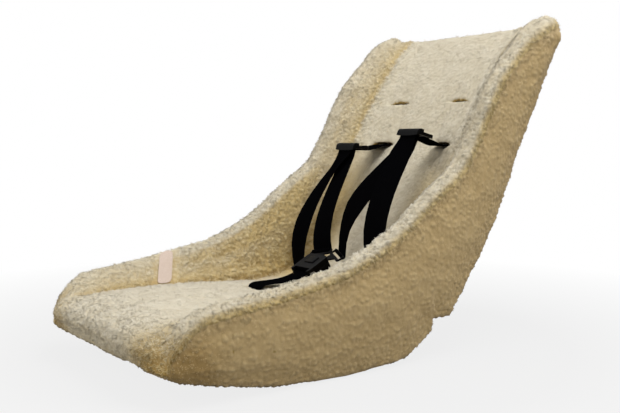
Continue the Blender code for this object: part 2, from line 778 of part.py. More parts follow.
def make_shoulder_strap(skin, side, anchor, adjuster):
    """From its rod behind the seat, through the lower slot, to the adjuster's rear bar."""
    rear = anchor.fold()
    radius = hold_radius(adjuster.bar_radius)
    leaving = adjuster.out * -1
    front = fold(adjuster.origin, leaving, adjuster.up * -1, radius)
    front.reverse()
    mouth = Vector((rear[-1].x, adjuster.mouth.y, rear[-1].z))
    start = mouth + Vector((0, 2 * WEBBING, 0))
    reach = (front[0] - start).length / 3
    middle = bezier(start, Vector((0, -reach, 0)), front[0], leaving * reach, ARC_STEPS)
    route = rear + [start] + middle + front[1:]
    return swept_strap("shoulder_strap_" + side, route, [AXIS_X] * len(route))


# Buckle

class Buckle:
    """Pieces are built in the buckle's own frame: y towards the tongues, z out of its face."""

    def __init__(self, skin):
        self.turn = Matrix.Rotation(BUCKLE_PITCH, 3, "X")
        y = BUCKLE_SHARE * SEAT_LENGTH
        self.centre = Vector((0, y, floor_top(skin, y, 0) + BUCKLE_LIFT))
        self.frame = frame_at("buckle_frame", self.centre, self.turn)

    def world(self, x, y, z):
        return self.centre + self.turn @ Vector((x, y, z))

    def bar_y(self):
        return -BUCKLE_LENGTH / 2 + BUCKLE_BAR_INSET

    def notch_end(self):
        """How far the notch for the crotch strap reaches into the buckle."""
        return self.bar_y() + hold_radius(BUCKLE_BAR / 2) + WEBBING / 2 + RUN_CLEARANCE


def rounded_block(width, length, low, high, radius):
    """A block with rounded upright corners, between two heights."""
    bm = bmesh.new()
    box(bm, Vector((0, 0, (low + high) / 2)), (width, length, high - low))
    upright = [e for e in bm.edges if abs(e.verts[0].co.z - e.verts[1].co.z) > (high - low) / 2]
    bmesh.ops.bevel(bm, geom=upright, offset=radius, segments=4, profile=0.5, affect="EDGES")
    return bm


def carve(target, name, parent, shapes):
    """Cuts a group of shapes out of a piece. Each shape is a filled bmesh."""
    for i, shape in enumerate(shapes):
        tool = add_object("cut_%s_%d" % (name, i), shape, BLACK, parent)
        tool.hide_render = True
        tool.display_type = "WIRE"
        cutting = target.modifiers.new("cut", "BOOLEAN")
        cutting.operation = "DIFFERENCE"
        cutting.solver = "EXACT"
        cutting.object = tool


def block(x, y, low, high, width, length):
    bm = bmesh.new()
    box(bm, Vector((x, y, (low + high) / 2)), (width, length, high - low))
    return bm


def buckle_levels():
    """Heights in the buckle, measured from its parting plane."""
    half = BUCKLE_THICKNESS / 2
    blade = TONGUE / 2
    latch_top = -blade - RUN_CLEARANCE
    latch_low = latch_top - LATCH_THICKNESS
    flange_top = half - BUCKLE_WALL - GAP
    return half, blade, latch_top, latch_low, flange_top


def chamber_centre():
    """The latch chamber lies between the webbing window and the tongues' mouth."""
    return BUCKLE_LENGTH / 2 - BUCKLE_WALL - CHAMBER_LENGTH / 2


def screw_places(buckle):
    reach = CHAMBER_WIDTH / 2 - SCREW_HEAD
    y = (chamber_centre() - CHAMBER_LENGTH / 2 + buckle.notch_end()) / 2
    return [(sign * reach, y) for sign in (1, -1)]


def screw_profile(clearance):
    """Half the outline of a screw, as (radius, height), from its head up."""
    half = BUCKLE_THICKNESS / 2
    head, shank = SCREW_HEAD / 2 + clearance, SCREW_DIAMETER / 2 + clearance
    shoulder = -half + SCREW_HEAD_DEPTH + clearance
    tip = -half + SCREW_LENGTH + clearance
    foot = -half - (OVERRUN if clearance else 0)
    return [(0, foot), (head, foot), (head, shoulder), (shank, shoulder), (shank, tip), (0, tip)]


def make_buckle_shells(buckle):
    half, blade, _, _, _ = buckle_levels()
    notch_length = 2 * (buckle.notch_end() + BUCKLE_LENGTH / 2)
    mouth_y = BUCKLE_LENGTH / 2
    mouth = blade + RUN_CLEARANCE
    slot_width = BLADE_WIDTH + 2 * RUN_CLEARANCE
    for name, low, high in (("buckle_front", GAP / 2, half), ("buckle_back", -half, -GAP / 2)):
        shell = add_object(name, rounded_block(BUCKLE_WIDTH, BUCKLE_LENGTH, low, high, BUCKLE_ROUND),
                           BLACK, buckle.frame)
        inner = (-OVERRUN, high - BUCKLE_WALL) if low > 0 else (low + BUCKLE_WALL, OVERRUN)
        shapes = [block(0, chamber_centre(), *inner, CHAMBER_WIDTH, CHAMBER_LENGTH),
                  block(0, -BUCKLE_LENGTH / 2, -OVERRUN, OVERRUN, BUCKLE_NOTCH_WIDTH, notch_length),
                  bar_shape(buckle, GAP)]
        mouths = bmesh.new()
        for sign in (1, -1):
            box(mouths, Vector((sign * BLADE_CENTRE_X, mouth_y, 0)), (slot_width, OVERRUN, 2 * mouth))
        shapes.append(mouths)
        if low > 0:
            opening = (BUTTON_WIDTH + 2 * RUN_CLEARANCE, BUTTON_LENGTH + 2 * RUN_CLEARANCE)
            shapes.append(block(0, chamber_centre(), 0, OVERRUN + half, *opening))
        screws = bmesh.new()
        for x, y in screw_places(buckle):
            turned(screws, x, y, screw_profile(GAP))
        shapes.append(screws)
        carve(shell, name, buckle.frame, shapes)


def bar_shape(buckle, clearance):
    """The steel pin that the crotch strap holds, or with a clearance the bed for it."""
    bm = bmesh.new()
    place = Matrix.Translation(Vector((0, buckle.bar_y(), 0))) @ Matrix.Rotation(math.pi / 2, 4, "Y")
    radius = BUCKLE_BAR / 2 + clearance
    bmesh.ops.create_cone(bm, cap_ends=True, segments=16, radius1=radius, radius2=radius,
                          depth=BUCKLE_BAR_LENGTH + 2 * clearance, matrix=place)
    return bm


def make_screws(buckle):
    for side, (x, y) in zip(SIDES, screw_places(buckle)):
        bm = bmesh.new()
        turned(bm, x, y, screw_profile(0))
        add_object("buckle_screw_" + side, bm, STEEL, buckle.frame)
    add_object("buckle_bar", bar_shape(buckle, 0), STEEL, buckle.frame)


def turned(bm, x, y, profile, segments=14):
    """Turns a profile of (radius, height) points round an upright axis."""
    rings = []
    for radius, height in profile:
        if radius == 0:
            rings.append([bm.verts.new((x, y, height))])
            continue
        angles = [math.tau * i / segments for i in range(segments)]
        rings.append([bm.verts.new((x + radius * math.cos(a), y + radius * math.sin(a), height))
                      for a in angles])
    for near, far in zip(rings, rings[1:]):
        for i in range(segments):
            j = (i + 1) % segments
            if len(near) == 1:
                bm.faces.new((near[0], far[j], far[i]))
            elif len(far) == 1:
                bm.faces.new((near[i], near[j], far[0]))
            else:
                bm.faces.new((near[i], near[j], far[j], far[i]))


def stacked(name, parent, finish, shapes):
    """One piece from blocks that overlap, joined by a union."""
    made = add_object(name, shapes[0], finish, parent)
    for i, shape in enumerate(shapes[1:]):
        tool = add_object("join_%s_%d" % (name, i), shape, finish, parent)
        tool.hide_render = True
        tool.display_type = "WIRE"
        joining = made.modifiers.new("join", "BOOLEAN")
        joining.operation = "UNION"
        joining.solver = "EXACT"
        joining.object = tool
    return made


def make_button_and_latch(buckle):
    half, blade, latch_top, latch_low, flange_top = buckle_levels()
    y = chamber_centre()
    cap = block(0, y, flange_top - BUTTON_FLANGE / 2, half + BUTTON_PROUD, BUTTON_WIDTH, BUTTON_LENGTH)
    top_edges = [e for e in cap.edges if all(v.co.z > half for v in e.verts)]
    bmesh.ops.bevel(cap, geom=top_edges, offset=BUTTON_PROUD / 2, segments=2, profile=0.5, affect="EDGES")
    flange = block(0, y, flange_top - BUTTON_FLANGE, flange_top,
                   BUTTON_WIDTH + 2 * BUTTON_LIP, BUTTON_LENGTH + 2 * BUTTON_LIP)
    stem = block(0, y, latch_top + GAP, flange_top - BUTTON_FLANGE / 2, STEM_WIDTH, STEM_LENGTH)
    stacked("release_button", buckle.frame, BLACK, [cap, flange, stem])
    plate_width = 2 * (BLADE_CENTRE_X + PEG)
    shapes = [block(0, y, latch_low, latch_top, plate_width, LATCH_LENGTH)]
    for sign in (1, -1):
        shapes.append(block(sign * BLADE_CENTRE_X, y, latch_top - LATCH_THICKNESS / 2, blade - GAP, PEG, PEG))
    stacked("buckle_latch", buckle.frame, STEEL, shapes)


def make_spring(buckle):
    """A cone-shaped coil between the buckle's floor and the latch. Its curls sink into each other."""
    half, _, _, latch_low, _ = buckle_levels()
    low = -half + BUCKLE_WALL + GAP + SPRING_WIRE / 2
    high = latch_low - GAP - SPRING_WIRE / 2
    points = SPRING_TURNS * SPRING_POINTS_PER_TURN
    curve = bpy.data.curves.new("latch_spring", "CURVE")
    curve.dimensions = "3D"
    curve.bevel_depth = SPRING_WIRE / 2
    curve.bevel_resolution = 1
    curve.use_fill_caps = True
    spline = curve.splines.new("POLY")
    spline.points.add(points)
    wide = SPRING_DIAMETER / 2 - SPRING_WIRE / 2
    narrow = SPRING_TOP_DIAMETER / 2 - SPRING_WIRE / 2
    for i in range(points + 1):
        angle = math.tau * i / SPRING_POINTS_PER_TURN
        radius = wide + (narrow - wide) * i / points
        height = low + (high - low) * i / points
        place = (radius * math.cos(angle), chamber_centre() + radius * math.sin(angle), height)
        spline.points[i].co = (*place, 1)
    made = bpy.data.objects.new("latch_spring", curve)
    bpy.context.scene.collection.objects.link(made)
    curve.materials.append(material("latch_spring", *STEEL))
    made.parent = buckle.frame
    least = (wide - narrow) / SPRING_TURNS - SPRING_WIRE
    print("gap between the spring's curls when it is pressed flat: %.2f mm" % (least * 1000))
    return made


class Tongue:
    """A flat tongue: a blade in the buckle, and a head whose slot holds the harness strap."""

    def __init__(self, buckle, side):
        self.side, self.sign, self.buckle = side, SIDES[side], buckle
        self.blade_end = BUCKLE_LENGTH / 2 - BLADE_REACH
        self.head_y = self.blade_end + BLADE_LENGTH + TONGUE_NECK + TONGUE_HEAD_LENGTH / 2
        self.head = Vector((self.sign * TONGUE_HEAD_X, self.head_y, 0))
        self.across = Vector((math.cos(TONGUE_SPLAY), -self.sign * math.sin(TONGUE_SPLAY), 0))
        self.ahead = Vector((self.sign * math.sin(TONGUE_SPLAY), math.cos(TONGUE_SPLAY), 0))

    def bar_world(self):
        reach = TONGUE_HEAD_LENGTH / 2 - TONGUE_BAR / 2
        return self.buckle.world(*(self.head + self.ahead * reach))

    def directions(self):
        """The strap's width, the way it leaves the bar and the tongue's face, in the world."""
        turn = self.buckle.turn
        return turn @ self.across, turn @ self.ahead, turn @ AXIS_Z

    def make(self):
        frame, sign = self.buckle.frame, self.sign
        slot_turn = Matrix.Rotation(-sign * TONGUE_SPLAY, 3, "Z")
        centre_y = self.blade_end + BLADE_LENGTH / 2
        blade = block(sign * BLADE_CENTRE_X, centre_y, -TONGUE / 2, TONGUE / 2,
                      BLADE_WIDTH, BLADE_LENGTH)
        neck = self.neck()
        head = bmesh.new()
        box(head, self.head, (TONGUE_HEAD_WIDTH, TONGUE_HEAD_LENGTH, TONGUE), slot_turn)
        upright = [e for e in head.edges if abs(e.verts[0].co.z - e.verts[1].co.z) > TONGUE / 2]
        bmesh.ops.bevel(head, geom=upright, offset=TONGUE_ROUND, segments=3, profile=0.5, affect="EDGES")
        name = "tongue_" + self.side
        made = stacked(name, frame, BLACK, [head, blade, neck])
        slot = bmesh.new()
        reach = TONGUE_HEAD_LENGTH / 2 - TONGUE_BAR - TONGUE_SLOT / 2
        box(slot, self.head + self.ahead * reach, (TONGUE_SLOT_WIDTH, TONGUE_SLOT, OVERRUN), slot_turn)
        hole = PEG + 2 * RUN_CLEARANCE
        catch = block(sign * BLADE_CENTRE_X, chamber_centre() + TONGUE_PLAY / 2, -OVERRUN, OVERRUN,
                      hole, hole + TONGUE_PLAY)
        carve(made, name, frame, [slot, catch])
        return made

    def neck(self):
        """A plate that widens from the blade to the head."""
        start = self.blade_end + BLADE_LENGTH - TONGUE_NECK / 2
        back = self.head - self.ahead * TONGUE_HEAD_LENGTH * 0.2
        half_head = self.across * TONGUE_HEAD_WIDTH * 0.3
        x = self.sign * BLADE_CENTRE_X
        outline = [Vector((x - BLADE_WIDTH / 2, start, 0)), Vector((x + BLADE_WIDTH / 2, start, 0)),
                   back + half_head, back - half_head]
        return loft([[p + AXIS_Z * h for p in outline] for h in (-TONGUE / 2, TONGUE / 2)])


def turned_width(across, twist, height):
    """The width of a run at a share of its height: plain at both ends, turned in between."""
    inside = min(height, 1 - height) - TWIST_START_SHARE
    ease = min(1.0, max(0.0, inside / TWIST_EASE_SHARE))
    turn = twist[0] + (twist[1] - twist[0]) * height
    return (across + AXIS_Y * turn * ease).normalized()


def make_harness_strap(skin, side, hip, adjuster, tongue):
    """From the hip rod up over the adjuster's front bar, and down to the tongue."""
    hip_fold = hip.fold()
    mouth = hip_fold[-1].copy()
    mouth.z = floor_top(skin, mouth.y, CREASE)
    radius = hold_radius(adjuster.bar_radius)
    bar = adjuster.front_bar()
    half_turn = [bar + adjuster.out * radius * math.cos(a) + adjuster.up * radius * math.sin(a)
                 for a in (math.pi * i / ARC_STEPS for i in range(ARC_STEPS + 1))]
    across, ahead, face = tongue.directions()
    leaving = ahead * math.cos(LAP_LIFT) + face * math.sin(LAP_LIFT)
    under = ahead * math.sin(LAP_LIFT) - face * math.cos(LAP_LIFT)
    tongue_fold = fold(tongue.bar_world(), leaving, under, hold_radius(TONGUE_BAR / 2 + GAP))
    tongue_fold.reverse()
    drop = adjuster.up * -1
    up = bezier(mouth, HIP_PULL[side], half_turn[0], drop * HIP_HANG[side], ROUTE_STEPS)
    down = bezier(half_turn[-1], drop * LAP_HANG[side], tongue_fold[0], leaving * LAP_PULL[side], ROUTE_STEPS)
    route = hip_fold + [mouth] + up + half_turn[1:] + down + tongue_fold[1:]
    upward = len(hip_fold) + 1 + len(up) + len(half_turn) - 1
    widths = [AXIS_X] * upward
    first = len(hip_fold) + 1
    for i in range(len(up)):
        widths[first + i] = turned_width(AXIS_X, HIP_TWIST_SHARES[side], (i + 1) / len(up))
    for i in range(len(down)):
        height = 1 - (i + 1) / len(down)
        widths.append(turned_width(across.lerp(AXIS_X, height), LAP_TWIST_SHARES[side], height))
    widths += [across] * (len(tongue_fold) - 1)
    return swept_strap("harness_strap_" + side, route, widths)


def floor_top(skin, y, column):
    """The height of the seat's inside at a place along it, in one column."""
    line = [row[HALF + column].co for row in skin.top]
    for here, there in zip(line, line[1:]):
        if here.y <= y < there.y:
            return here.lerp(there, (y - here.y) / (there.y - here.y)).z
    raise ValueError("the seat doesn't reach %.3f" % y)


def make_crotch_strap(skin, anchor, buckle):
    """From its rod under the board up through the floor, along the floor and into the buckle."""
    floor_fold = anchor.fold()
    radius = hold_radius(BUCKLE_BAR / 2)
    bar = buckle.world(0, buckle.bar_y(), 0)
    leaving = buckle.turn @ Vector((0, -1, 0))
    end = fold(bar, leaving, buckle.turn @ AXIS_Z, radius)
    end.reverse()
    mouth = floor_fold[-1].copy()
    mouth.z = floor_top(skin, mouth.y, 0) - WEBBING
    bend = bezier(mouth, AXIS_Z * CROTCH_BEND, end[0], leaving * CROTCH_PULL, ROUTE_STEPS)
    route = floor_fold + [mouth] + bend + end[1:]
    return swept_strap("crotch_strap", route, [AXIS_X] * len(route))


# Zip and label

def make_zip(skin):
    face, normal = back_at(skin, ZIP_HEIGHT)
    turn = Matrix((AXIS_X, normal.cross(AXIS_X), normal)).transposed()
    frame = frame_at("zip_frame", face + normal * ZIP_LIFT, turn)
    tape = add_object("zip_tape", block(0, 0, 0, TAPE, ZIP_LENGTH, TAPE_WIDTH), STRAP, frame)
    coil_low = TAPE + GAP
    coil_y = COIL_SPACING / 2 + COIL_WIDTH / 2
    coil_length = ZIP_LENGTH - 2 * STOP_LENGTH - 2 * GAP
    for name, sign in (("zip_coil_upper", 1), ("zip_coil_lower", -1)):
        coil = block(0, sign * coil_y, coil_low, coil_low + COIL_HEIGHT, coil_length, COIL_WIDTH)
        add_object(name, coil, BLACK, frame)
    for side, sign in SIDES.items():
        stop = block(sign * (ZIP_LENGTH - STOP_LENGTH) / 2, 0, coil_low, coil_low + COIL_HEIGHT,
                     STOP_LENGTH, 2 * COIL_WIDTH + COIL_SPACING)
        add_object("zip_stop_" + side, stop, STEEL, frame)
    return frame, tape


def make_slider(frame):
    """The slider rides over the coils, and its tab turns on a pin through the lug."""
    coil_top = TAPE + GAP + COIL_HEIGHT
    x = -ZIP_LENGTH / 2 + STOP_LENGTH + SLIDER_LENGTH / 2 + 2 * GAP
    low = TAPE + GAP
    half, channel = SLIDER_WIDTH / 2, COIL_WIDTH + COIL_SPACING / 2 + RUN_CLEARANCE
    roof = coil_top + RUN_CLEARANCE
    section = [(-half, low), (-channel, low), (-channel, roof), (channel, roof), (channel, low),
               (half, low), (half, low + SLIDER_HEIGHT), (-half, low + SLIDER_HEIGHT)]
    body = loft([[Vector((x + end * SLIDER_LENGTH / 2, y, z)) for y, z in section] for end in (-1, 1)])
    lug_top = low + SLIDER_HEIGHT + SLIDER_LUG
    lug = block(x, 0, low + SLIDER_HEIGHT - OVERRUN / 10, lug_top, SLIDER_LENGTH / 2, SLIDER_LUG)
    slider = stacked("zip_slider", frame, STEEL, [body, lug])
    pin_height = lug_top - SLIDER_LUG / 2
    eye = bmesh.new()
    across_turn = Matrix.Translation(Vector((x, 0, pin_height))) @ Matrix.Rotation(math.pi / 2, 4, "X")
    bmesh.ops.create_cone(eye, cap_ends=True, segments=12, radius1=PULL_PIN / 2 + RUN_CLEARANCE / 2,
                          radius2=PULL_PIN / 2 + RUN_CLEARANCE / 2, depth=OVERRUN, matrix=across_turn)
    carve(slider, "zip_slider", frame, [eye])
    return x, pin_height


def make_pull(frame, x, pin_height):
    """A flat forked tab whose pin passes through the slider's lug. It hangs square to the tape."""
    pivot = frame_at("zip_pull_frame", Vector(), None)
    pivot.parent = frame
    pivot.matrix_parent_inverse = Matrix.Identity(4)
    pivot.matrix_basis = Matrix.Translation(Vector((x, 0, pin_height))) @ Matrix.Rotation(-math.pi / 2, 4, "Y")
    inner = SLIDER_LUG / 2 + RUN_CLEARANCE
    outer = PULL_WIDTH / 2
    start, fork = -0.8 * PULL_PIN, SLIDER_LENGTH / 2 + RUN_CLEARANCE
    end, corner = start + PULL_LENGTH, PULL_WIDTH / 4
    half = [(fork, inner), (start, inner), (start, outer), (end - corner, outer), (end, outer - corner)]
    outline = half + [(x, -y) for x, y in reversed(half)]
    tab = loft([[Vector((x, y, h * PULL / 2)) for x, y in outline] for h in (-1, 1)])
    pin = bmesh.new()
    bmesh.ops.create_cone(pin, cap_ends=True, segments=12, radius1=PULL_PIN / 2, radius2=PULL_PIN / 2,
                          depth=inner + outer, matrix=Matrix.Rotation(math.pi / 2, 4, "X"))
    return stacked("zip_pull", pivot, STEEL, [tab, pin])


def make_label(skin):
    """A ribbon from the rim's crest down the right inner wall to the crease."""
    columns = [HALF - i for i in range(CREASE, HALF - 1)]
    middle = LABEL_SHARE * SEAT_LENGTH
    last = len(columns) - 1
    sheets = []
    for depth in (-LABEL_LIFT - LABEL, -LABEL_LIFT):
        rows = [[skin.below(v, depth) for v in pick(row, columns)] for row in skin.top]
        sheet = []
        for y in (middle - LABEL_WIDTH / 2, middle + LABEL_WIDTH / 2):
            line = []
            for j in range(len(columns)):
                at = y - LABEL_SLANT * (last - j) / last
                for near, far in zip(rows, rows[1:]):
                    if near[j].y <= at < far[j].y:
                        share = (at - near[j].y) / (far[j].y - near[j].y)
                        line.append(near[j].lerp(far[j], share))
                        break
            sheet.append(line)
        sheets.append(sheet)
    return add_object("care_label", solid_between(*sheets), RIBBON)


def main():
    clear_scene()
    skin = Skin()
    pieces = {**make_covers(skin), **make_boards(skin), **make_foam(skin)}
    hips = {side: floor_anchor(skin, "hip_anchor_rod_" + side, sign * HIP_SLOT_X, HIP_SLOT_Y)
            for side, sign in SIDES.items()}
    crotch = floor_anchor(skin, "crotch_anchor_rod", 0.0, CROTCH_SLOT_Y)
    shoulders = {side: shoulder_anchor(skin, side) for side in SIDES}
    anchors = [crotch, *hips.values(), *shoulders.values()]
    cut_slots(pieces, anchors)
    for anchor in anchors:
        anchor.rod()
    buckle = Buckle(skin)
    make_buckle_shells(buckle)
    make_screws(buckle)
    make_button_and_latch(buckle)
    make_spring(buckle)
    make_crotch_strap(skin, crotch, buckle)
    for side in SIDES:
        adjuster = Adjuster(skin, side)
        adjuster.make()
        make_shoulder_strap(skin, side, shoulders[side], adjuster)
        tongue = Tongue(buckle, side)
        tongue.make()
        make_harness_strap(skin, side, hips[side], adjuster, tongue)
    frame, _ = make_zip(skin)
    make_pull(frame, *make_slider(frame))
    make_label(skin)
    skin.bm.free()
    bpy.context.view_layer.update()


main()
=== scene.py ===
"""Looks of the cargo bike baby seat: fleece panels with a curled pile, black webbing and its hardware.

Metres, +Z up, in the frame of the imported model. The nose points to -Y, the backrest rises to +Y.
"""

import json
import math

import bmesh
import bpy
import numpy as np
from mathutils import Matrix, Vector, noise
from mathutils.bvhtree import BVHTree
from mathutils.kdtree import KDTree


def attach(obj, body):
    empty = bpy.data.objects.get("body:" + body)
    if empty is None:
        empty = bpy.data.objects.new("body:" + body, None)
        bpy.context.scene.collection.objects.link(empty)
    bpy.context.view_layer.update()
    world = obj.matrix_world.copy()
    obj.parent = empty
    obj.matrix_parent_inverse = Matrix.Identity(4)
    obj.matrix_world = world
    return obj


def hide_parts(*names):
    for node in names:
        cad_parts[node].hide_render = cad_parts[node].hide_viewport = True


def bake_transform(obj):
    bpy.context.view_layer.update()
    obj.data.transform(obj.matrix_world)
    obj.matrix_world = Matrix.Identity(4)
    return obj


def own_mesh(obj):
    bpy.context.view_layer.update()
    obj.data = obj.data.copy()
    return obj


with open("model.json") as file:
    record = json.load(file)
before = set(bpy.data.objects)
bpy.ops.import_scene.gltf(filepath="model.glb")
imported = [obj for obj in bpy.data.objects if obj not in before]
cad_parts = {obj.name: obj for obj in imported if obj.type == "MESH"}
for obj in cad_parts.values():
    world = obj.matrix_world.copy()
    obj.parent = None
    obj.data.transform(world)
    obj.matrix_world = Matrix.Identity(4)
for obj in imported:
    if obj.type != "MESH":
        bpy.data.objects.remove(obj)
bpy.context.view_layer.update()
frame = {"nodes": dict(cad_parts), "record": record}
NODES = frame["nodes"]
BEHAVIOUR = frame["record"]["behaviour"]
BODY_OF = {node: body for body, members in BEHAVIOUR["bodies"].items() for node in members}
HINGE_AT = {joint["name"]: Vector(joint["pos_m"]) for joint in BEHAVIOUR["joints"] if "pos_m" in joint}

# The view
IMAGE_WIDTH = 620
FOCAL_PIXELS = 844.06
CAMERA_AT = (0.923, -0.6748, 0.2772)
CAMERA_AZIMUTH = math.radians(53.5)
CAMERA_DOWN = math.radians(4.47)

# Light: the sky's strength, and each lamp's place, target, size, watts and colour
SKY_LIGHT = 0.42
SKY_AT_HORIZON = 0.6
LAMPS = (
    ("key", (0.55, 0.1, 1.8), (0, 0, 0.15), 1.0, 18, (1, 1, 1)),
    ("fill", (-0.4, -1.45, 0.8), (0, 0, 0.15), 1.2, 10, (1.0, 0.97, 0.90)),
    ("side", (1.7, 0.9, 1.2), (0, 0, 0.2), 1.0, 8.5, (1, 1, 1)),
)

# Fleece
GRAIN = 0.0021
SOFTENING = 16
CREASE_X = 0.115
NOSE_ROUND = 0.060
NOSE_ROUND_AT = (0.124, -0.260)
CORNER_FULL = 0.0060
STAND = 0.0012
BROAD_HEIGHT = 0.0016
BROAD_LEAST = 0.4
TUFT = 0.0062
TUFT_HEIGHT = 0.0030
TUFT_MIDDLE = 0.6
SEWN_DEPTH = 0.0035
SEWN_WIDTH = 0.006
SEAM_DEPTH = 0.0003
SEAM_WIDTH = 0.004
PRESS_DEPTH = 0.0010
HEM = 0.004
CLOTH_GRAIN = 0.0055
CLOTH_FRAMES = 20
PUFF_START = 0.002
PUFF_CAP = 0.006
SKY = 24

# Where the fleece changes: the two ends of a soft step, along y unless the name says otherwise
CALM_FROM = -0.295
CALM_STEP = 0.07
CALM_SIDE_STEP = 0.02
SEWN_FROM = (-0.305, -0.27)
SEWN_FADE = (0.03, 0.14)
SEWN_TO = (0.262, 0.288)
CORNER_AT = (0.235, 0.275)
CORNER_AT_SIDE = (0.115, 0.15)
NOSE_TUFTS = (-0.25, -0.18)
RIM_STEP = 0.01
RIM_FROM = (0.0, 0.1)
# From here on, steps of the painted light and shade in the fleece's colour: the painted lit nose front,
# painted shade on the walls by the creases, on the lower backrest beside the walls, and in the nose's near
# lower corners.
NOSE_PALE = (-0.25, -0.14)
WALL_FROM = (-0.29, -0.22)
WALL_HALF_STEP = 0.005
LAP_FROM = (0.0, 0.05)
LAP_TO = (0.13, 0.20)
LAP_AT_SIDE = (0.03, 0.09)
LAP_END_STEP = 0.008
NOSE_SHADE_TO = (-0.28, -0.21)
NOSE_SHADE_AT_SIDE = (0.07, 0.14)
NOSE_SHADE_UP_TO_Z = (0.03, 0.10)

# Shoulder slots: height, and how far its lips are drawn together
SLOTS = ((0.270, 0.0014), (0.333, 0.0030))
SLOT_X = 0.0635
SLOT_HALF_GAP = 0.0045

# Locks of pile
LOCK_REACH = 0.0031
LOCK_WIDTH = 0.0006
LOCK_SHARE = {"plush": 0.75, "plush_back": 0.5}
LOCK_SINK = 0.0006
LOCK_JITTER = 0.0009
LOCK_SEED = 7
LOCK_PRESSED = 0.6
LOCK_LOWEST = 0.004
LOCK_TRIANGLES = 190000
FRINGE_REACH = 0.012

# Panels: the cover each stands for, its slot, the length of its pile and the relief of its tufts
PANELS = {
    "fleece_liner": ("cover_liner", "plush", 1.0, 0.8),
    "fleece_side_left": ("cover_side_left", "plush_back", 0.38, 0.36),
    "fleece_side_right": ("cover_side_right", "plush_back", 0.38, 0.36),
    "fleece_base": ("cover_base", "plush_back", 0.35, 0.4),
    "fleece_back": ("cover_back", "plush_back", 0.40, 0.4),
}
FOAMS = ("foam_floor", "foam_backrest", "foam_side_left", "foam_side_right")
FOAM_GRAIN = 0.005
FOAM_SOFTENING = 5
FOAM_INSET = 0.0006
HELD_DOWN = ("harness_strap_left", "harness_strap_right", "shoulder_strap_left", "shoulder_strap_right",
             "crotch_strap", "zip_tape", "zip_slider", "zip_pull", "care_label", "buckle_back")
INNER = (*FOAMS, "base_board", "back_board")

# Webbing
WEBBING_WIDTH = 0.030
WEBBING = 0.0013
STRAPS = ("harness_strap_left", "harness_strap_right", "shoulder_strap_left",
          "shoulder_strap_right", "crotch_strap")

# Adjusters, in their own axes: across, back along the frame, out of its face
SIDES = ("left", "right")
ADJUSTER_PITCH = {"left": math.radians(14), "right": math.radians(4)}
ADJUSTER_HALF_WIDTH = 0.0205
HOOD = ((-0.0185, 0.0044), (-0.0238, 0.0046), (-0.0268, 0.0036), (-0.0284, 0.0012),
        (-0.0289, -0.0018), (-0.0297, -0.0046))
HOOD_FOOT = ((-0.0268, -0.0030), (-0.0254, -0.0014), (-0.0254, 0.0016), (-0.0247, 0.0022), (-0.0185, 0.0022))
HOOD_WALL = 0.0015
HOOD_SAG = 0.0012
CHEEK = 0.0036

# Zip, in its own axes: along the tape, across it, out of its face
ZIP_AT = Vector((0, 0.14759, 0.09964))
ZIP_ACROSS = Vector((0, -0.5958, -0.8031))
ZIP_OUT = Vector((0, 0.8031, -0.5958))
TOOTH_PITCH = 0.0016
TOOTH = (0.0011, 0.0028, 0.0020)
TOOTH_OUT = 0.0021
TOOTH_ROW = 0.0010
TEETH_HALF = 0.1150
STITCH_PITCH = 0.0042
STITCH = (0.0028, 0.0006, 0.0005)
STITCH_ROW = 0.0108


# Helpers for meshes

def merged_copy(node):
    """The node's mesh as a bmesh with its loose triangles joined."""
    bm = bmesh.new()
    bm.from_mesh(NODES[node].data)
    bmesh.ops.remove_doubles(bm, verts=bm.verts, dist=1e-6)
    return bm


def new_object(name, mesh):
    made = bpy.data.objects.new(name, mesh)
    bpy.context.scene.collection.objects.link(made)
    return made


def finished(name, bm, finish):
    """A smooth-shaded object from a bmesh, with its material."""
    mesh = bpy.data.meshes.new(name)
    bm.to_mesh(mesh)
    bm.free()
    mesh.shade_smooth()
    made = new_object(name, mesh)
    mesh.materials.append(finish)
    return made


def evaluated_mesh(made):
    """The mesh with its modifiers applied."""
    view = bpy.context.evaluated_depsgraph_get()
    view.update()
    return bpy.data.meshes.new_from_object(made.evaluated_get(view))


def points_of(mesh):
    flat = np.empty(len(mesh.vertices) * 3, np.float32)
    mesh.vertices.foreach_get("co", flat)
    return flat.reshape(-1, 3).astype(float)


def normals_of(mesh):
    flat = np.empty(len(mesh.vertices) * 3, np.float32)
    mesh.vertex_normals.foreach_get("vector", flat)
    return flat.reshape(-1, 3).astype(float)


def applied(made):
    """The same piece with its modifiers made part of its mesh."""
    name, mesh = made.name, evaluated_mesh(made)
    bpy.data.objects.remove(made, do_unlink=True)
    mesh.name = name
    return new_object(name, mesh)


def make_even(made, grain, rounds):
    """Adds a remesh to even cells and a number of rounds of smoothing."""
    even = made.modifiers.new("even", "REMESH")
    even.mode = "VOXEL"
    even.voxel_size = grain
    soft = made.modifiers.new("soft", "SMOOTH")
    soft.factor = 0.5
    soft.iterations = rounds


def round_edges(made, width, degrees):
    """Adds a bevel of two steps to the edges that turn by more than an angle."""
    bevel = made.modifiers.new("edges", "BEVEL")
    bevel.width = width
    bevel.segments = 2
    bevel.limit_method = "ANGLE"
    bevel.angle_limit = math.radians(degrees)


def adjuster_place(side):
    """Where an adjuster's hinge is, and how its own axes are turned."""
    return HINGE_AT["adjuster_%s_tilt" % side], Matrix.Rotation(-ADJUSTER_PITCH[side], 3, "X")


def point_value(mesh, name, values):
    """Stores one number per vertex for a material to read."""
    layer = mesh.attributes.new(name, "FLOAT", "POINT")
    layer.data.foreach_set("value", np.asarray(values, np.float32))


# Helpers for materials

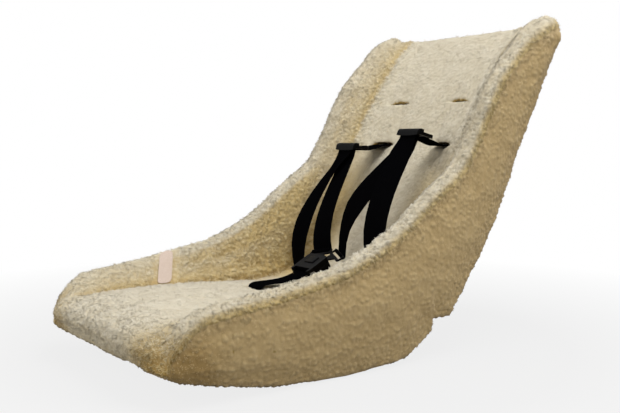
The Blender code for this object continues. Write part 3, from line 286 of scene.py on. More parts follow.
class Finish:
    """A material and short ways to add nodes to it."""

    def __init__(self, name, colour, roughness, metallic=0.0):
        self.material = bpy.data.materials.new(name)
        self.material.use_nodes = True
        self.tree = self.material.node_tree
        self.shader = self.tree.nodes["Principled BSDF"]
        self.shader.inputs["Base Color"].default_value = (*colour, 1)
        self.shader.inputs["Roughness"].default_value = roughness
        self.shader.inputs["Metallic"].default_value = metallic
        self.place = self.add("ShaderNodeTexCoord").outputs["Object"]

    def add(self, kind, settings=None, **inputs):
        node = self.tree.nodes.new(kind)
        for key, value in (settings or {}).items():
            setattr(node, key, value)
        for key, value in inputs.items():
            self.join(node.inputs[key.replace("_", " ")], value)
        return node

    def join(self, socket, value):
        if isinstance(value, bpy.types.NodeSocket):
            self.tree.links.new(value, socket)
        else:
            socket.default_value = value

    def attribute(self, name):
        return self.add("ShaderNodeAttribute", {"attribute_name": name}).outputs["Fac"]

    def noise(self, scale, detail=2.0, at=None):
        cloud = self.add("ShaderNodeTexNoise", Vector=at or self.place, Scale=scale, Detail=detail)
        return cloud.outputs["Fac"]

    def math(self, operation, a, b=0.0):
        node = self.add("ShaderNodeMath", {"operation": operation})
        self.join(node.inputs[0], a)
        self.join(node.inputs[1], b)
        return node.outputs[0]

    def ramp(self, value, stops):
        node = self.add("ShaderNodeValToRGB", Fac=value)
        elements = node.color_ramp.elements
        while len(elements) < len(stops):
            elements.new(0.5)
        for element, (at, colour) in zip(elements, stops):
            element.position = at
            element.color = (*colour, 1)
        return node.outputs["Color"]

    def blend(self, mode, share, a, b):
        node = self.add("ShaderNodeMix", {"data_type": "RGBA", "blend_type": mode})
        self.join(node.inputs["Factor"], share)
        self.join(node.inputs["A"], a)
        self.join(node.inputs["B"], b)
        return node.outputs["Result"]

    def bump(self, height, depth, strength=1.0):
        node = self.add("ShaderNodeBump", Height=height, Distance=depth, Strength=strength)
        self.join(self.shader.inputs["Normal"], node.outputs["Normal"])

    def colour(self, socket):
        self.join(self.shader.inputs["Base Color"], socket)

    def roughness(self, value, low, high):
        node = self.add("ShaderNodeMapRange", Value=value, To_Min=low, To_Max=high)
        self.join(self.shader.inputs["Roughness"], node.outputs["Result"])


def fleece_finish(name, shade_painted_palette, lit_painted_palette):
    """Wool-like pile: golden in its depth and pale at the tips, which is partly painted shade in the pile's
    depth, and mottled from curl to curl. A painted shade palette and a painted lit palette are mixed by the
    painted light stored on the mesh.
    """
    finish = Finish(name, lit_painted_palette[1], 0.95)
    depth = finish.attribute("pile")
    stops = (0.0, 0.4, 0.9)
    # Painted shade (golden) and painted light (pale) copies of the same colours, mixed by the painted light
    # number.
    deep = finish.ramp(depth, list(zip(stops, shade_painted_palette)))
    pale = finish.ramp(depth, list(zip(stops, lit_painted_palette)))
    colour = finish.blend("MIX", finish.attribute("painted_light"), deep, pale)
    mottle = finish.ramp(finish.noise(60, 3), [(0.35, (0.90, 0.88, 0.84)), (0.65, (1.0, 1.0, 1.0))])
    finish.colour(finish.blend("MULTIPLY", 0.8, colour, mottle))
    finish.bump(finish.noise(1400, 3), 0.0005, 0.5)
    finish.shader.inputs["Sheen Weight"].default_value = 0.2
    finish.shader.inputs["Sheen Roughness"].default_value = 0.6
    finish.shader.inputs["Specular IOR Level"].default_value = 0.12
    return finish.material


def make_finishes():
    # Each fleece gets a painted shade palette, then a painted lit palette. The outer panels' fleece is darker
    # and more golden than the liner's, partly painted shade.
    made = {
        "plush": fleece_finish("cream_fleece",
                               ((0.45, 0.28, 0.07), (0.64, 0.46, 0.16), (0.77, 0.62, 0.31)),
                               ((0.60, 0.49, 0.29), (0.70, 0.63, 0.48), (0.77, 0.72, 0.61))),
        "plush_back": fleece_finish("tan_fleece_with_painted_shade",
                                    ((0.43, 0.28, 0.10), (0.61, 0.44, 0.205), (0.72, 0.56, 0.30)),
                                    ((0.50, 0.38, 0.20), (0.68, 0.54, 0.33), (0.77, 0.65, 0.45))),
    }
    foam = Finish("foam", (0.80, 0.76, 0.66), 0.9)
    foam.bump(foam.noise(700, 4), 0.0004)
    made["foam"] = foam.material
    board = Finish("plywood", (0.62, 0.44, 0.26), 0.6)
    stretched = board.add("ShaderNodeMapping", Vector=board.place, Scale=(1, 14, 14)).outputs["Vector"]
    grain = board.noise(60, 5, stretched)
    board.colour(board.ramp(grain, [(0.3, (0.50, 0.33, 0.18)), (0.7, (0.70, 0.52, 0.33))]))
    made["board"] = board.material
    return made


# Fleece panels

def joined_solids(names):
    bm = bmesh.new()
    for node in names:
        piece = merged_copy(node)
        mesh = bpy.data.meshes.new("part")
        piece.to_mesh(mesh)
        piece.free()
        bm.from_mesh(mesh)
        bpy.data.meshes.remove(mesh)
    mesh = bpy.data.meshes.new("seat_core")
    bm.to_mesh(mesh)
    bm.free()
    return mesh


def soft_body(grain, rounds):
    """The whole upholstered body as one even, softened surface."""
    covers = [panel[0] for panel in PANELS.values()]
    rough = new_object("seat_core", joined_solids([*covers, *INNER]))
    make_even(rough, grain, rounds)
    mesh = evaluated_mesh(rough)
    bpy.data.objects.remove(rough, do_unlink=True)
    return mesh


def surface_points(node, spacing):
    """Points spread over a node's faces."""
    bm = merged_copy(node)
    found = []
    for face in bm.faces:
        a, b, c = (v.co for v in face.verts)
        steps = max(1, math.ceil(max((b - a).length, (c - a).length, (c - b).length) / spacing))
        found += [a + (b - a) * (i / steps) + (c - a) * (j / steps)
                  for i in range(steps + 1) for j in range(steps + 1 - i)]
    bm.free()
    return found


def tree_of(points):
    tree = KDTree(len(points))
    for i, p in enumerate(points):
        tree.insert(p, i)
    tree.balance()
    return tree


def crease_points():
    """Points along the two sewn lines where the floor and backrest meet the side walls."""
    found = []
    for sign in (1, -1):
        bm = merged_copy("cover_liner")
        bm.normal_update()
        line = [v.co.copy() for v in bm.verts
                if abs(v.co.x * sign - CREASE_X) < 0.0006 and v.normal.dot(Vector((0, -0.7, 0.7))) > 0.2]
        bm.free()
        line.sort(key=lambda p: p.y)
        for a, b in zip(line, line[1:]):
            if (b - a).length < 0.12:
                steps = max(1, round((b - a).length / 0.003))
                found += [a.lerp(b, i / steps) for i in range(steps)]
    return found


def nearest_panel(points):
    """For each point the number of the nearest cover, and how much further off the next one is."""
    reach = []
    for cover, *_ in PANELS.values():
        tree = BVHTree.FromBMesh(merged_copy(cover))
        reach.append([tree.find_nearest(p, 0.03)[3] or 0.03 for p in points])
    reach = np.array(reach)
    order = np.sort(reach, axis=0)
    return reach.argmin(0), order[1] - order[0]


def ease(value, low, high):
    share = np.clip((np.asarray(value) - low) / (high - low), 0, 1)
    return share * share * (3 - 2 * share)


def reach_to(tree, points):
    return np.array([tree.find(p)[2] for p in points])


def puffed(creases, held):
    """How far each place of a coarse body moves when its stuffed panels swell between the sewn lines."""
    mesh = soft_body(CLOTH_GRAIN, 4)
    pad = new_object("stuffing", mesh)
    start, normals = points_of(mesh), normals_of(mesh)
    vectors = [Vector(p) for p in start]
    panel_of, beside = nearest_panel(vectors)
    loose = ease(reach_to(creases, vectors), 0.006, 0.022) * ease(reach_to(held, vectors), 0.004, 0.016)
    loose *= ease(beside, 0.001, 0.012) * ease(start[:, 2], 0.003, 0.012)
    begin = start - normals * (loose * PUFF_START)[:, None]
    mesh.vertices.foreach_set("co", begin.astype(np.float32).ravel())
    pins = pad.vertex_groups.new(name="sewn")
    for i, value in enumerate(loose):
        if value < 0.98:
            pins.add([i], float(1 - value), "REPLACE")
    cloth = pad.modifiers.new("swell", "CLOTH")
    rules = cloth.settings
    rules.quality = 5
    rules.mass = 0.3
    rules.tension_stiffness = rules.compression_stiffness = 12
    rules.shear_stiffness = 5
    rules.bending_stiffness = 1.5
    rules.use_pressure = True
    rules.uniform_pressure_force = 4
    rules.effector_weights.gravity = 0
    rules.vertex_group_mass = "sewn"
    rules.pin_stiffness = 1
    cloth.collision_settings.use_collision = False
    cloth.collision_settings.use_self_collision = False
    cloth.point_cache.frame_start, cloth.point_cache.frame_end = 1, CLOTH_FRAMES
    for number in range(1, CLOTH_FRAMES + 1):
        bpy.context.scene.frame_set(number)
    swollen = evaluated_mesh(pad)
    moved = points_of(swollen) - start
    length = np.linalg.norm(moved, axis=1)
    moved *= np.minimum(1, PUFF_CAP / np.maximum(length, 1e-9))[:, None]
    bpy.context.scene.frame_set(1)
    tree = BVHTree.FromPolygons(vectors, [tuple(f.vertices) for f in mesh.polygons])
    corners = [tuple(f.vertices) for f in mesh.polygons]
    bpy.data.objects.remove(pad, do_unlink=True)
    mean, most = 1000 * np.minimum(length, PUFF_CAP).mean(), 1000 * length.max()
    print("swelling, mm: mean %.2f, most before the cap %.2f" % (mean, most))
    return lambda p: moved[list(corners[tree.find_nearest(p)[2]])].mean(0)


def openness(points):
    """How much of the sky above each place sees, from 0 deep between the walls to 1 in the open; it sets where
    the fleece's colour gets painted shade.
    """
    mesh = soft_body(CLOTH_GRAIN, 4)
    at, normals = points_of(mesh), normals_of(mesh)
    tree = BVHTree.FromPolygons([Vector(p) for p in at], [tuple(f.vertices) for f in mesh.polygons])
    turn = math.pi * (3 - math.sqrt(5))
    sky = []
    for i in range(SKY):
        height = 0.15 + 0.85 * (i + 0.5) / SKY
        reach = math.sqrt(1 - height * height)
        sky.append(Vector((reach * math.cos(i * turn), reach * math.sin(i * turn), height)))
    seen = np.empty(len(at))
    for i, (p, n) in enumerate(zip(at, normals)):
        start, face = Vector(p) + Vector(n) * 0.006, Vector(n)
        total = clear = 1e-6
        for way in sky:
            weight = way.dot(face) * way.z
            if weight > 0:
                total += weight
                if tree.ray_cast(start, way, 0.5)[0] is None:
                    clear += weight
        seen[i] = clear / total
    near = tree_of([Vector(p) for p in at])
    bpy.data.meshes.remove(mesh)
    return np.array([seen[[j for _, j, _ in near.find_n(p, 5)]].mean() for p in points])


def closed_slots(points):
    """Draws the fleece lips of the shoulder slots together."""
    out = points.copy()
    for height, close in SLOTS:
        for sign in (1, -1):
            side = np.abs(points[:, 0] - sign * SLOT_X)
            off = points[:, 2] - height
            lip = np.exp(-np.maximum(np.abs(off) - SLOT_HALF_GAP, 0) / 0.009) * (points[:, 1] > 0.1)
            drawn = (close + 0.0012 * ease(side, 0.005, 0.018)) * lip * (1 - ease(side, 0.019, 0.030))
            out[:, 2] -= np.sign(off) * np.minimum(drawn, np.abs(off) * 0.85)
    return out


def rounded_nose(points):
    """Draws the two corners of the nose in to a fuller round, seen from above."""
    out = points.copy()
    side = np.abs(points[:, 0]) - NOSE_ROUND_AT[0]
    front = NOSE_ROUND_AT[1] - points[:, 1]
    corner = (side > 0) & (front > 0)
    reach = np.hypot(side, front)
    kept = NOSE_ROUND * 0.6
    spare = NOSE_ROUND - kept
    drawn = np.where(reach > kept, kept + spare * (1 - np.exp(-(reach - kept) / spare)), reach)
    between = 2 * side * front / np.maximum(reach, 1e-6) ** 2
    scale = np.where(corner, 1 + between * (drawn / np.maximum(reach, 1e-6) - 1), 1.0)
    out[:, 0] = np.where(corner, np.sign(points[:, 0]) * (NOSE_ROUND_AT[0] + side * scale), points[:, 0])
    out[:, 1] = np.where(corner, NOSE_ROUND_AT[1] - front * scale, points[:, 1])
    return out


def make_panels(finishes):
    """Cuts the softened body into its sewn panels and returns where locks of pile may stand."""
    body = soft_body(GRAIN, SOFTENING)
    points, normals = points_of(body), normals_of(body)
    vectors = [Vector(p) for p in points]
    creases = tree_of(crease_points())
    held = tree_of([p for node in HELD_DOWN for p in surface_points(node, 0.004)])
    panel_of, beside = nearest_panel(vectors)
    swell_at = puffed(creases, held)
    points = points + np.array([swell_at(p) for p in vectors])
    vectors = [Vector(p) for p in points]
    side, along, up = np.abs(points[:, 0]), points[:, 1], points[:, 2]
    liner = panel_of == 0
    inside = liner * (normals[:, 2] - normals[:, 1] > 0.3)
    to_crease = reach_to(creases, vectors)
    sewn = np.exp(-(to_crease / SEWN_WIDTH) ** 2)
    sewn *= (1 - ease(along, *SEWN_TO)) * ease(along, *SEWN_FROM)
    sewn *= 1 - 0.95 * ease(along, *SEWN_FADE)
    press = 1 - ease(reach_to(held, vectors), 0.003, 0.010)
    seam = np.exp(-(beside / SEAM_WIDTH) ** 2)
    length, relief = pile_size(side, along, beside, panel_of, inside)
    broad, bulge, comb = tuft_pattern(vectors)
    broad_share = BROAD_LEAST + (1 - BROAD_LEAST) * relief
    rise = STAND + broad * BROAD_HEIGHT * broad_share + (bulge - TUFT_MIDDLE) * TUFT_HEIGHT * relief
    rise = rise - sewn * SEWN_DEPTH - seam * SEAM_DEPTH
    rise = rise + CORNER_FULL * ease(side, *CORNER_AT_SIDE) * ease(along, *CORNER_AT)
    rise = rise * (1 - press) - PRESS_DEPTH * press
    resting = ease(up, 0.001, 0.006)
    moved = rounded_nose(closed_slots(points + normals * (rise * resting)[:, None]))
    moved[:, 2] = np.maximum(moved[:, 2], 0.0)
    # Painted shade: the near lower corners of the nose are made darker and golden.
    shade = ease(side, *NOSE_SHADE_AT_SIDE) * (1 - ease(along, *NOSE_SHADE_TO))
    shade *= 1 - ease(up, *NOSE_SHADE_UP_TO_Z)
    painted_light = paint_light_and_shade(side, along, normals, openness(vectors), to_crease, beside, liner, inside)
    painted_light = painted_light * (1 - shade)
    # The pile number is partly painted shade: lower in the tufts' valleys, along the sewn creases and in the
    # nose's shaded corners. It is also lower where pieces hold the fleece down, and the broad waves vary its
    # tone.
    pile = 0.50 + (bulge - TUFT_MIDDLE) * 0.55 * relief - 0.7 * shade
    pile = np.clip(pile + broad * 0.10 * broad_share - sewn * 0.25 - press * 0.1, 0, 1)
    whole = with_layers(body, moved, {"pile": pile, "painted_light": painted_light})
    soft_normals = normals_of(whole)
    cut_panels(whole, panel_of, finishes)
    bpy.data.meshes.remove(whole)
    bpy.data.meshes.remove(body)
    return {"at": moved, "normal": 0.5 * (normals + soft_normals), "panel": panel_of, "comb": comb,
            "beside": beside, "press": press, "painted_light": painted_light, "bulge": bulge, "length": length, "relief": relief}


def pile_size(side, along, beside, panel_of, inside):
    """The length of the pile and the relief of its tufts: fuller at the seams, calmer where the baby lies."""
    liner = panel_of == 0
    length, relief = (np.array([panel[k] for panel in PANELS.values()])[panel_of] for k in (2, 3))
    length = length + (1 - length) * 0.7 * np.exp(-beside / 0.012)
    relief = relief + (0.5 - relief) * np.exp(-beside / 0.014)
    calm = inside * ease(CREASE_X - side, 0.0, CALM_SIDE_STEP) * ease(along, CALM_FROM, CALM_FROM + CALM_STEP)
    length = length * (1 - 0.45 * calm)
    relief = relief * (1 - 0.65 * calm)
    relief = relief * (1 - 0.3 * liner * (1 - ease(along, *NOSE_TUFTS)))
    rim = liner * ease(side, CREASE_X, CREASE_X + RIM_STEP)
    relief = relief * (1 - 0.3 * rim * ease(along, *RIM_FROM))
    return length, relief


def tuft_pattern(vectors):
    """At each place the broad waves, how far it bulges within its tuft, and the way its tuft is combed."""
    broad = np.array([noise.noise(p / 0.034) + 0.6 * noise.noise(p / 0.016) for p in vectors])
    tufts = [noise.voronoi((p + noise.noise_vector(p / 0.011) * 0.0026) / TUFT) for p in vectors]
    edge = np.array([d[1] - d[0] for d, _ in tufts])
    comb = np.array([noise.cell_vector(places[0] * 37) * 2 - Vector((1, 1, 1)) for _, places in tufts])
    return broad, ease(edge, 0.0, 0.55), comb


def paint_light_and_shade(side, along, normals, open_share, to_crease, beside, liner, inside):
    """Painted light and shade for the fleece's colour: from 0, painted shade (golden) in deep places, on the
    walls by the creases, on the lower backrest beside the walls and along the liner's seams, to 1, painted
    light where it faces up or forward and lies open, and on the nose's front.
    """
    # Painted light on faces turned up and forward, painted shade where the sky is hidden.
    painted_light = ease(normals[:, 2] * 0.75 - normals[:, 1] * 0.55, 0.0, 0.68) * ease(open_share, 0.45, 0.95)
    # Painted light on the nose's front.
    front = 1 - ease(along, *NOSE_PALE)
    painted_light = np.maximum(painted_light, front * ease(-normals[:, 1] + 0.3 * np.abs(normals[:, 2]), 0.15, 0.7) * 0.8)
    # Painted shade on the walls near the creases.
    wall = liner * ease(side, CREASE_X - WALL_HALF_STEP, CREASE_X + WALL_HALF_STEP)
    wall = wall * ease(along, *WALL_FROM)
    painted_light = painted_light * (1 - 0.85 * wall * np.exp(-to_crease / 0.022))
    # Painted shade on the lower backrest beside the side walls.
    lap = ease(along, *LAP_FROM) * (1 - ease(along, *LAP_TO)) * inside
    lap = lap * ease(side, *LAP_AT_SIDE) * (1 - ease(side, CREASE_X - WALL_HALF_STEP, CREASE_X + LAP_END_STEP))
    painted_light = painted_light * (1 - 0.8 * lap)
    # Painted shade along the liner's seams.
    return painted_light * (1 - 0.45 * liner * np.exp(-(beside / 0.005) ** 2))


def with_layers(body, places, layers):
    """A copy of a mesh with its points moved and numbers stored on them."""
    bm = bmesh.new()
    bm.from_mesh(body)
    for vert, place in zip(bm.verts, places):
        vert.co = place
    for name, values in layers.items():
        layer = bm.verts.layers.float.new(name)
        for vert, value in zip(bm.verts, values):
            vert[layer] = value
    whole = bpy.data.meshes.new("body")
    bm.to_mesh(whole)
    bm.free()
    return whole


def cut_panels(whole, panel_of, finishes):
    for number, (name, (cover, slot, *_)) in enumerate(PANELS.items()):
        cut = bmesh.new()
        cut.from_mesh(whole)
        cut.verts.ensure_lookup_table()
        other = [f for f in cut.faces
                 if 2 * sum(panel_of[v.index] == number for v in f.verts) < len(f.verts)]
        bmesh.ops.delete(cut, geom=other, context="FACES")
        seam_edges = turn_hem_in(cut)
        panel = finished(name, cut, finishes[slot])
        for index in seam_edges:
            panel.data.edges[index].use_edge_sharp = True
        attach(panel, "seat")
        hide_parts(cover)


def turn_hem_in(bm):
    """Folds a panel's cut edge into the seam and returns the numbers of the edges along it."""
    bm.normal_update()
    rim = [e for e in bm.edges if e.is_boundary]
    olds = list({v for e in rim for v in e.verts})
    inward = [-v.normal for v in olds]
    near = tree_of([v.co for v in olds])
    made = bmesh.ops.extrude_edge_only(bm, edges=rim)
    for vert in made["geom"]:
        if isinstance(vert, bmesh.types.BMVert):
            vert.co += inward[near.find(vert.co)[1]] * HEM
    bm.edges.index_update()
    return [e.index for e in rim]


# Locks of pile

def lock_shape():
    """One curled lock, leaning to +X: three sides, a bent middle and a point."""
    bm = bmesh.new()
    bmesh.ops.create_cone(bm, segments=3, radius1=1.0, radius2=0.0, depth=1.0,
                          matrix=Matrix.Translation((0, 0, 0.5)))
    for height in (0.33, 0.7):
        bmesh.ops.bisect_plane(bm, geom=bm.verts[:] + bm.edges[:] + bm.faces[:],
                               plane_co=(0, 0, height), plane_no=(0, 0, 1))
    for vert in bm.verts:
        height = vert.co.z
        if 0.1 < height < 0.9:
            vert.co.xy *= 1.25 if height < 0.5 else 2.1
    bmesh.ops.triangulate(bm, faces=bm.faces)
    bm.verts.index_update()
    points = np.array([v.co[:] for v in bm.verts])
    faces = np.array([[v.index for v in f.verts] for f in bm.faces])
    bm.free()
    return points, faces


def make_pile(finishes, field):
    rng = np.random.default_rng(LOCK_SEED)
    shape, faces = lock_shape()
    for number, (name, (_, slot, *_)) in enumerate(PANELS.items()):
        allowed = (field["panel"] == number) & (field["press"] < LOCK_PRESSED)
        allowed &= field["at"][:, 2] > LOCK_LOWEST
        chosen = np.flatnonzero(allowed)
        share = LOCK_SHARE[slot] * (0.7 + 0.3 * field["bulge"][chosen])
        chosen = chosen[rng.random(len(chosen)) < share]
        chosen = chosen[np.argsort(field["at"][chosen, 1])]
        parts = max(1, math.ceil(len(chosen) * len(faces) / LOCK_TRIANGLES))
        for part, group in enumerate(np.array_split(chosen, parts)):
            grow_locks("%s_pile_%d" % (name, part + 1), finishes[slot], field, group,
                       shape, faces, rng)


def grow_locks(name, finish, field, group, shape, faces, rng):
    """Many copies of the lock in one mesh. Those of one tuft lean the same way."""
    count = len(group)
    length, relief = field["length"][group], field["relief"][group]
    normals = field["normal"][group]
    normals = normals / np.linalg.norm(normals, axis=1)[:, None]
    outward = np.abs(normals[:, 0]) * (field["beside"][group] < FRINGE_REACH)
    fringe = outward * ease(-field["beside"][group], -0.014, -0.002) * (field["panel"][group] == 0)
    comb = field["comb"][group] + rng.normal(0, 0.35, (count, 3)) + np.array([0, -0.1, -0.25])
    comb[:, 2] -= fringe
    comb -= normals * (comb * normals).sum(1)[:, None]
    along = comb / np.maximum(np.linalg.norm(comb, axis=1), 1e-6)[:, None]
    across = np.cross(normals, along)
    tall = LOCK_REACH * length * rng.uniform(0.7, 1.3, count) * (1 + 0.2 * fringe)
    tall *= 1 - 0.4 * ease(-normals[:, 2], 0.0, 0.7)
    wide = LOCK_WIDTH * rng.uniform(0.75, 1.25, count)
    lean = tall * rng.uniform(0.5, 1.3, count)
    jitter = rng.uniform(-LOCK_JITTER, LOCK_JITTER, (count, 2))
    foot = field["at"][group] + along * jitter[:, :1] + across * jitter[:, 1:] - normals * LOCK_SINK
    height = shape[None, :, 2:3]
    body = (foot[:, None, :]
            + along[:, None, :] * (shape[None, :, 0:1] * wide[:, None, None]
                                   + (height ** 1.6) * lean[:, None, None])
            + across[:, None, :] * (shape[None, :, 1:2] * wide[:, None, None])
            + normals[:, None, :] * ((height - 0.35 * height ** 2.5) * tall[:, None, None]))
    body[:, :, 2] = np.maximum(body[:, :, 2], 0.0005)
    index = faces[None] + (np.arange(count) * len(shape))[:, None, None]
    mesh = bpy.data.meshes.new(name)
    mesh.from_pydata(body.reshape(-1, 3).tolist(), [], index.reshape(-1, 3).tolist())
    mesh.shade_smooth()
    # Each lock's pile number is partly painted shade, darker at the root and in the tufts' valleys, with a
    # tone that differs at random; each lock also carries its place's painted light.
    tone = (rng.uniform(-0.10, 0.10, count) + (field["bulge"][group] - TUFT_MIDDLE) * 0.30) * relief
    rise = (shape[None, :, 2] - 0.4) * (0.18 + 0.24 * relief[:, None])
    point_value(mesh, "pile", np.clip(0.58 + rise + tone[:, None], 0, 1).ravel())
    facing = normals[:, None, :] * 0.9 + along[:, None, :] * (0.45 * height)
    facing = facing / np.linalg.norm(facing, axis=2)[:, :, None]
    mesh.normals_split_custom_set_from_vertices(facing.reshape(-1, 3))
    point_value(mesh, "painted_light", np.repeat(field["painted_light"][group], len(shape)))
    made = new_object(name, mesh)
    mesh.materials.append(finish)
    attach(made, "seat")


# Webbing

def strap_route(node):
    """The middle line of a strap's solid, with its width direction and its face's normal."""
    bm = merged_copy(node)
    across = {v: min(v.link_edges, key=lambda e: abs(e.calc_length() - WEBBING_WIDTH)) for v in bm.verts}
    links = {}
    for face in bm.faces:
        held = {across[v] for v in face.verts}
        if len(held) == 2:
            a, b = held
            links.setdefault(a, set()).add(b)
            links.setdefault(b, set()).add(a)
    start = next(iter(links))
    loop, here = [], start
    while here:
        loop.append(here)
        here = next((e for e in links[here] if e not in loop), None)
    middles = [(e.verts[0].co + e.verts[1].co) / 2 for e in loop]
    count = len(loop)

    def spread(first):
        return sum((middles[(first + k) % count] - middles[(first - 1 - k) % count]).length
                   for k in range(count // 2))

    best = min(range(count // 2), key=spread)
    route, widths, faces = [], [], []
    for k in range(count // 2):
        top, under = (best + k) % count, (best - 1 - k) % count
        edge = loop[top]
        width = (edge.verts[1].co - edge.verts[0].co).normalized()
        if widths and width.dot(widths[-1]) < 0:
            width = -width
        route.append((middles[top] + middles[under]) / 2)
        widths.append(width)
        faces.append((middles[top] - middles[under]).normalized())
    bm.free()
    return route, widths, faces


def make_strap(node, finish):
    """Webbing along its solid's route: a grid with a soft crown, thickened, with a length-wise pattern."""
    route, widths, faces = strap_route(node)
    columns = 12
    lengths = [0.0]
    for a, b in zip(route, route[1:]):
        lengths.append(lengths[-1] + (b - a).length)
    bm = bmesh.new()
    layer = bm.loops.layers.uv.new("weave")
    bmesh.ops.create_grid(bm, x_segments=columns, y_segments=len(route) - 1, size=0.5)
    cells = {}
    for vert in bm.verts:
        i = round((vert.co.x + 0.5) * columns)
        j = round((vert.co.y + 0.5) * (len(route) - 1))
        cells[vert] = (i, j)
    for vert, (i, j) in cells.items():
        share = i / columns - 0.5
        crown = (0.25 - share * share) * 0.0008
        vert.co = route[j] + widths[j] * share * WEBBING_WIDTH + faces[j] * crown
    for face in bm.faces:
        for loop in face.loops:
            i, j = cells[loop.vert]
            loop[layer].uv = (i / columns * WEBBING_WIDTH, lengths[j])
    strap = finished(node.replace("strap", "webbing"), bm, finish)
    thick = strap.modifiers.new("thickness", "SOLIDIFY")
    thick.thickness = WEBBING
    thick.offset = 0
    round_edges(strap, 0.0004, 50)
    strap = applied(strap)
    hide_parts(node)
    side = node.rpartition("_")[2]
    if side not in SIDES:
        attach(strap, BODY_OF[node])
        return
    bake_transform(strap)


def webbing_finish():
    """Black twill: fine slanted ribs, flat selvedges and a slight shine."""
    finish = Finish("black_webbing", (0.0015, 0.0015, 0.002), 0.85)
    uv = finish.add("ShaderNodeUVMap", {"uv_map": "weave"}).outputs["UV"]
    parts = finish.add("ShaderNodeSeparateXYZ", Vector=uv)
    across, along = parts.outputs["X"], parts.outputs["Y"]
    slant = finish.math("PINGPONG", across, 0.0075)
    rib = finish.math("SINE", finish.math("MULTIPLY", finish.math("ADD", along, slant), 2400))
    yarn = finish.math("SINE", finish.math("MULTIPLY", across, 5200))
    height = finish.math("MULTIPLY", finish.math("ADD", rib, finish.math("MULTIPLY", yarn, 0.5)), 0.5)
    finish.bump(height, 0.00018, 0.8)
    finish.colour(finish.ramp(finish.math("ADD", finish.math("MULTIPLY", height, 0.5), 0.5),
                              [(0.0, (0.0006, 0.0006, 0.001)), (1.0, (0.003, 0.003, 0.0035))]))
    finish.shader.inputs["Specular IOR Level"].default_value = 0.0
    return finish.material


# Hardware

def moulded_finish():
    finish = Finish("black_plastic", (0.0012, 0.0012, 0.0014), 0.38)
    finish.roughness(finish.noise(420, 3), 0.34, 0.5)
    finish.bump(finish.noise(1500, 2), 0.00006, 0.5)
    finish.shader.inputs["Specular IOR Level"].default_value = 0.05
    return finish.material


def steel_finish():
    finish = Finish("brushed_steel", (0.60, 0.60, 0.61), 0.3, 1.0)
    streaks = finish.add("ShaderNodeMapping", Vector=finish.place, Scale=(1, 30, 30)).outputs["Vector"]
    finish.roughness(finish.noise(300, 3, streaks), 0.22, 0.42)
    finish.bump(finish.noise(900, 2, streaks), 0.00003, 0.5)
    return finish.material


def ribbon_finish():
    finish = Finish("satin_ribbon", (0.62, 0.50, 0.44), 0.55)
    weave = finish.noise(2600, 2, finish.add("ShaderNodeMapping", Vector=finish.place,
                                              Scale=(0.2, 1, 0.2)).outputs["Vector"])
    finish.colour(finish.ramp(weave, [(0.3, (0.56, 0.43, 0.345)), (0.7, (0.68, 0.555, 0.47))]))
    finish.bump(weave, 0.0001, 0.5)
    finish.shader.inputs["Sheen Weight"].default_value = 0.2
    return finish.material


def soft_edged(node, finish, width=0.0004):
    """A copy of a hard piece with its edges rounded, which stands for the CAD node."""
    bm = merged_copy(node)
    bmesh.ops.dissolve_limit(bm, angle_limit=math.radians(2), verts=bm.verts, edges=bm.edges)
    made = finished(node + "_moulded", bm, finish)
    made.data.set_sharp_from_angle(angle=math.radians(35))
    round_edges(made, width, 35)
    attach(made, BODY_OF[node])
    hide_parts(node)
    return made


def dress_hardware(finishes):
    black, steel = moulded_finish(), steel_finish()
    for side in SIDES:
        soft_edged("adjuster_" + side, black, 0.0006)
        make_hood(side, black)
    for node in ("buckle_front", "buckle_back", "release_button", "tongue_left", "tongue_right"):
        soft_edged(node, black)
    for node in ("zip_slider", "zip_pull"):
        soft_edged(node, steel, 0.0003)
    for node in ("buckle_bar", "buckle_latch", "buckle_screw_left", "buckle_screw_right",
                 "crotch_anchor_rod", "hip_anchor_rod_left", "hip_anchor_rod_right",
                 "shoulder_anchor_rod_left", "shoulder_anchor_rod_right",
                 "zip_stop_left", "zip_stop_right"):
        paint(node, steel)
    make_spring(steel)
    make_foams(finishes["foam"])
    for node in ("base_board", "back_board"):
        paint(node, finishes["board"])


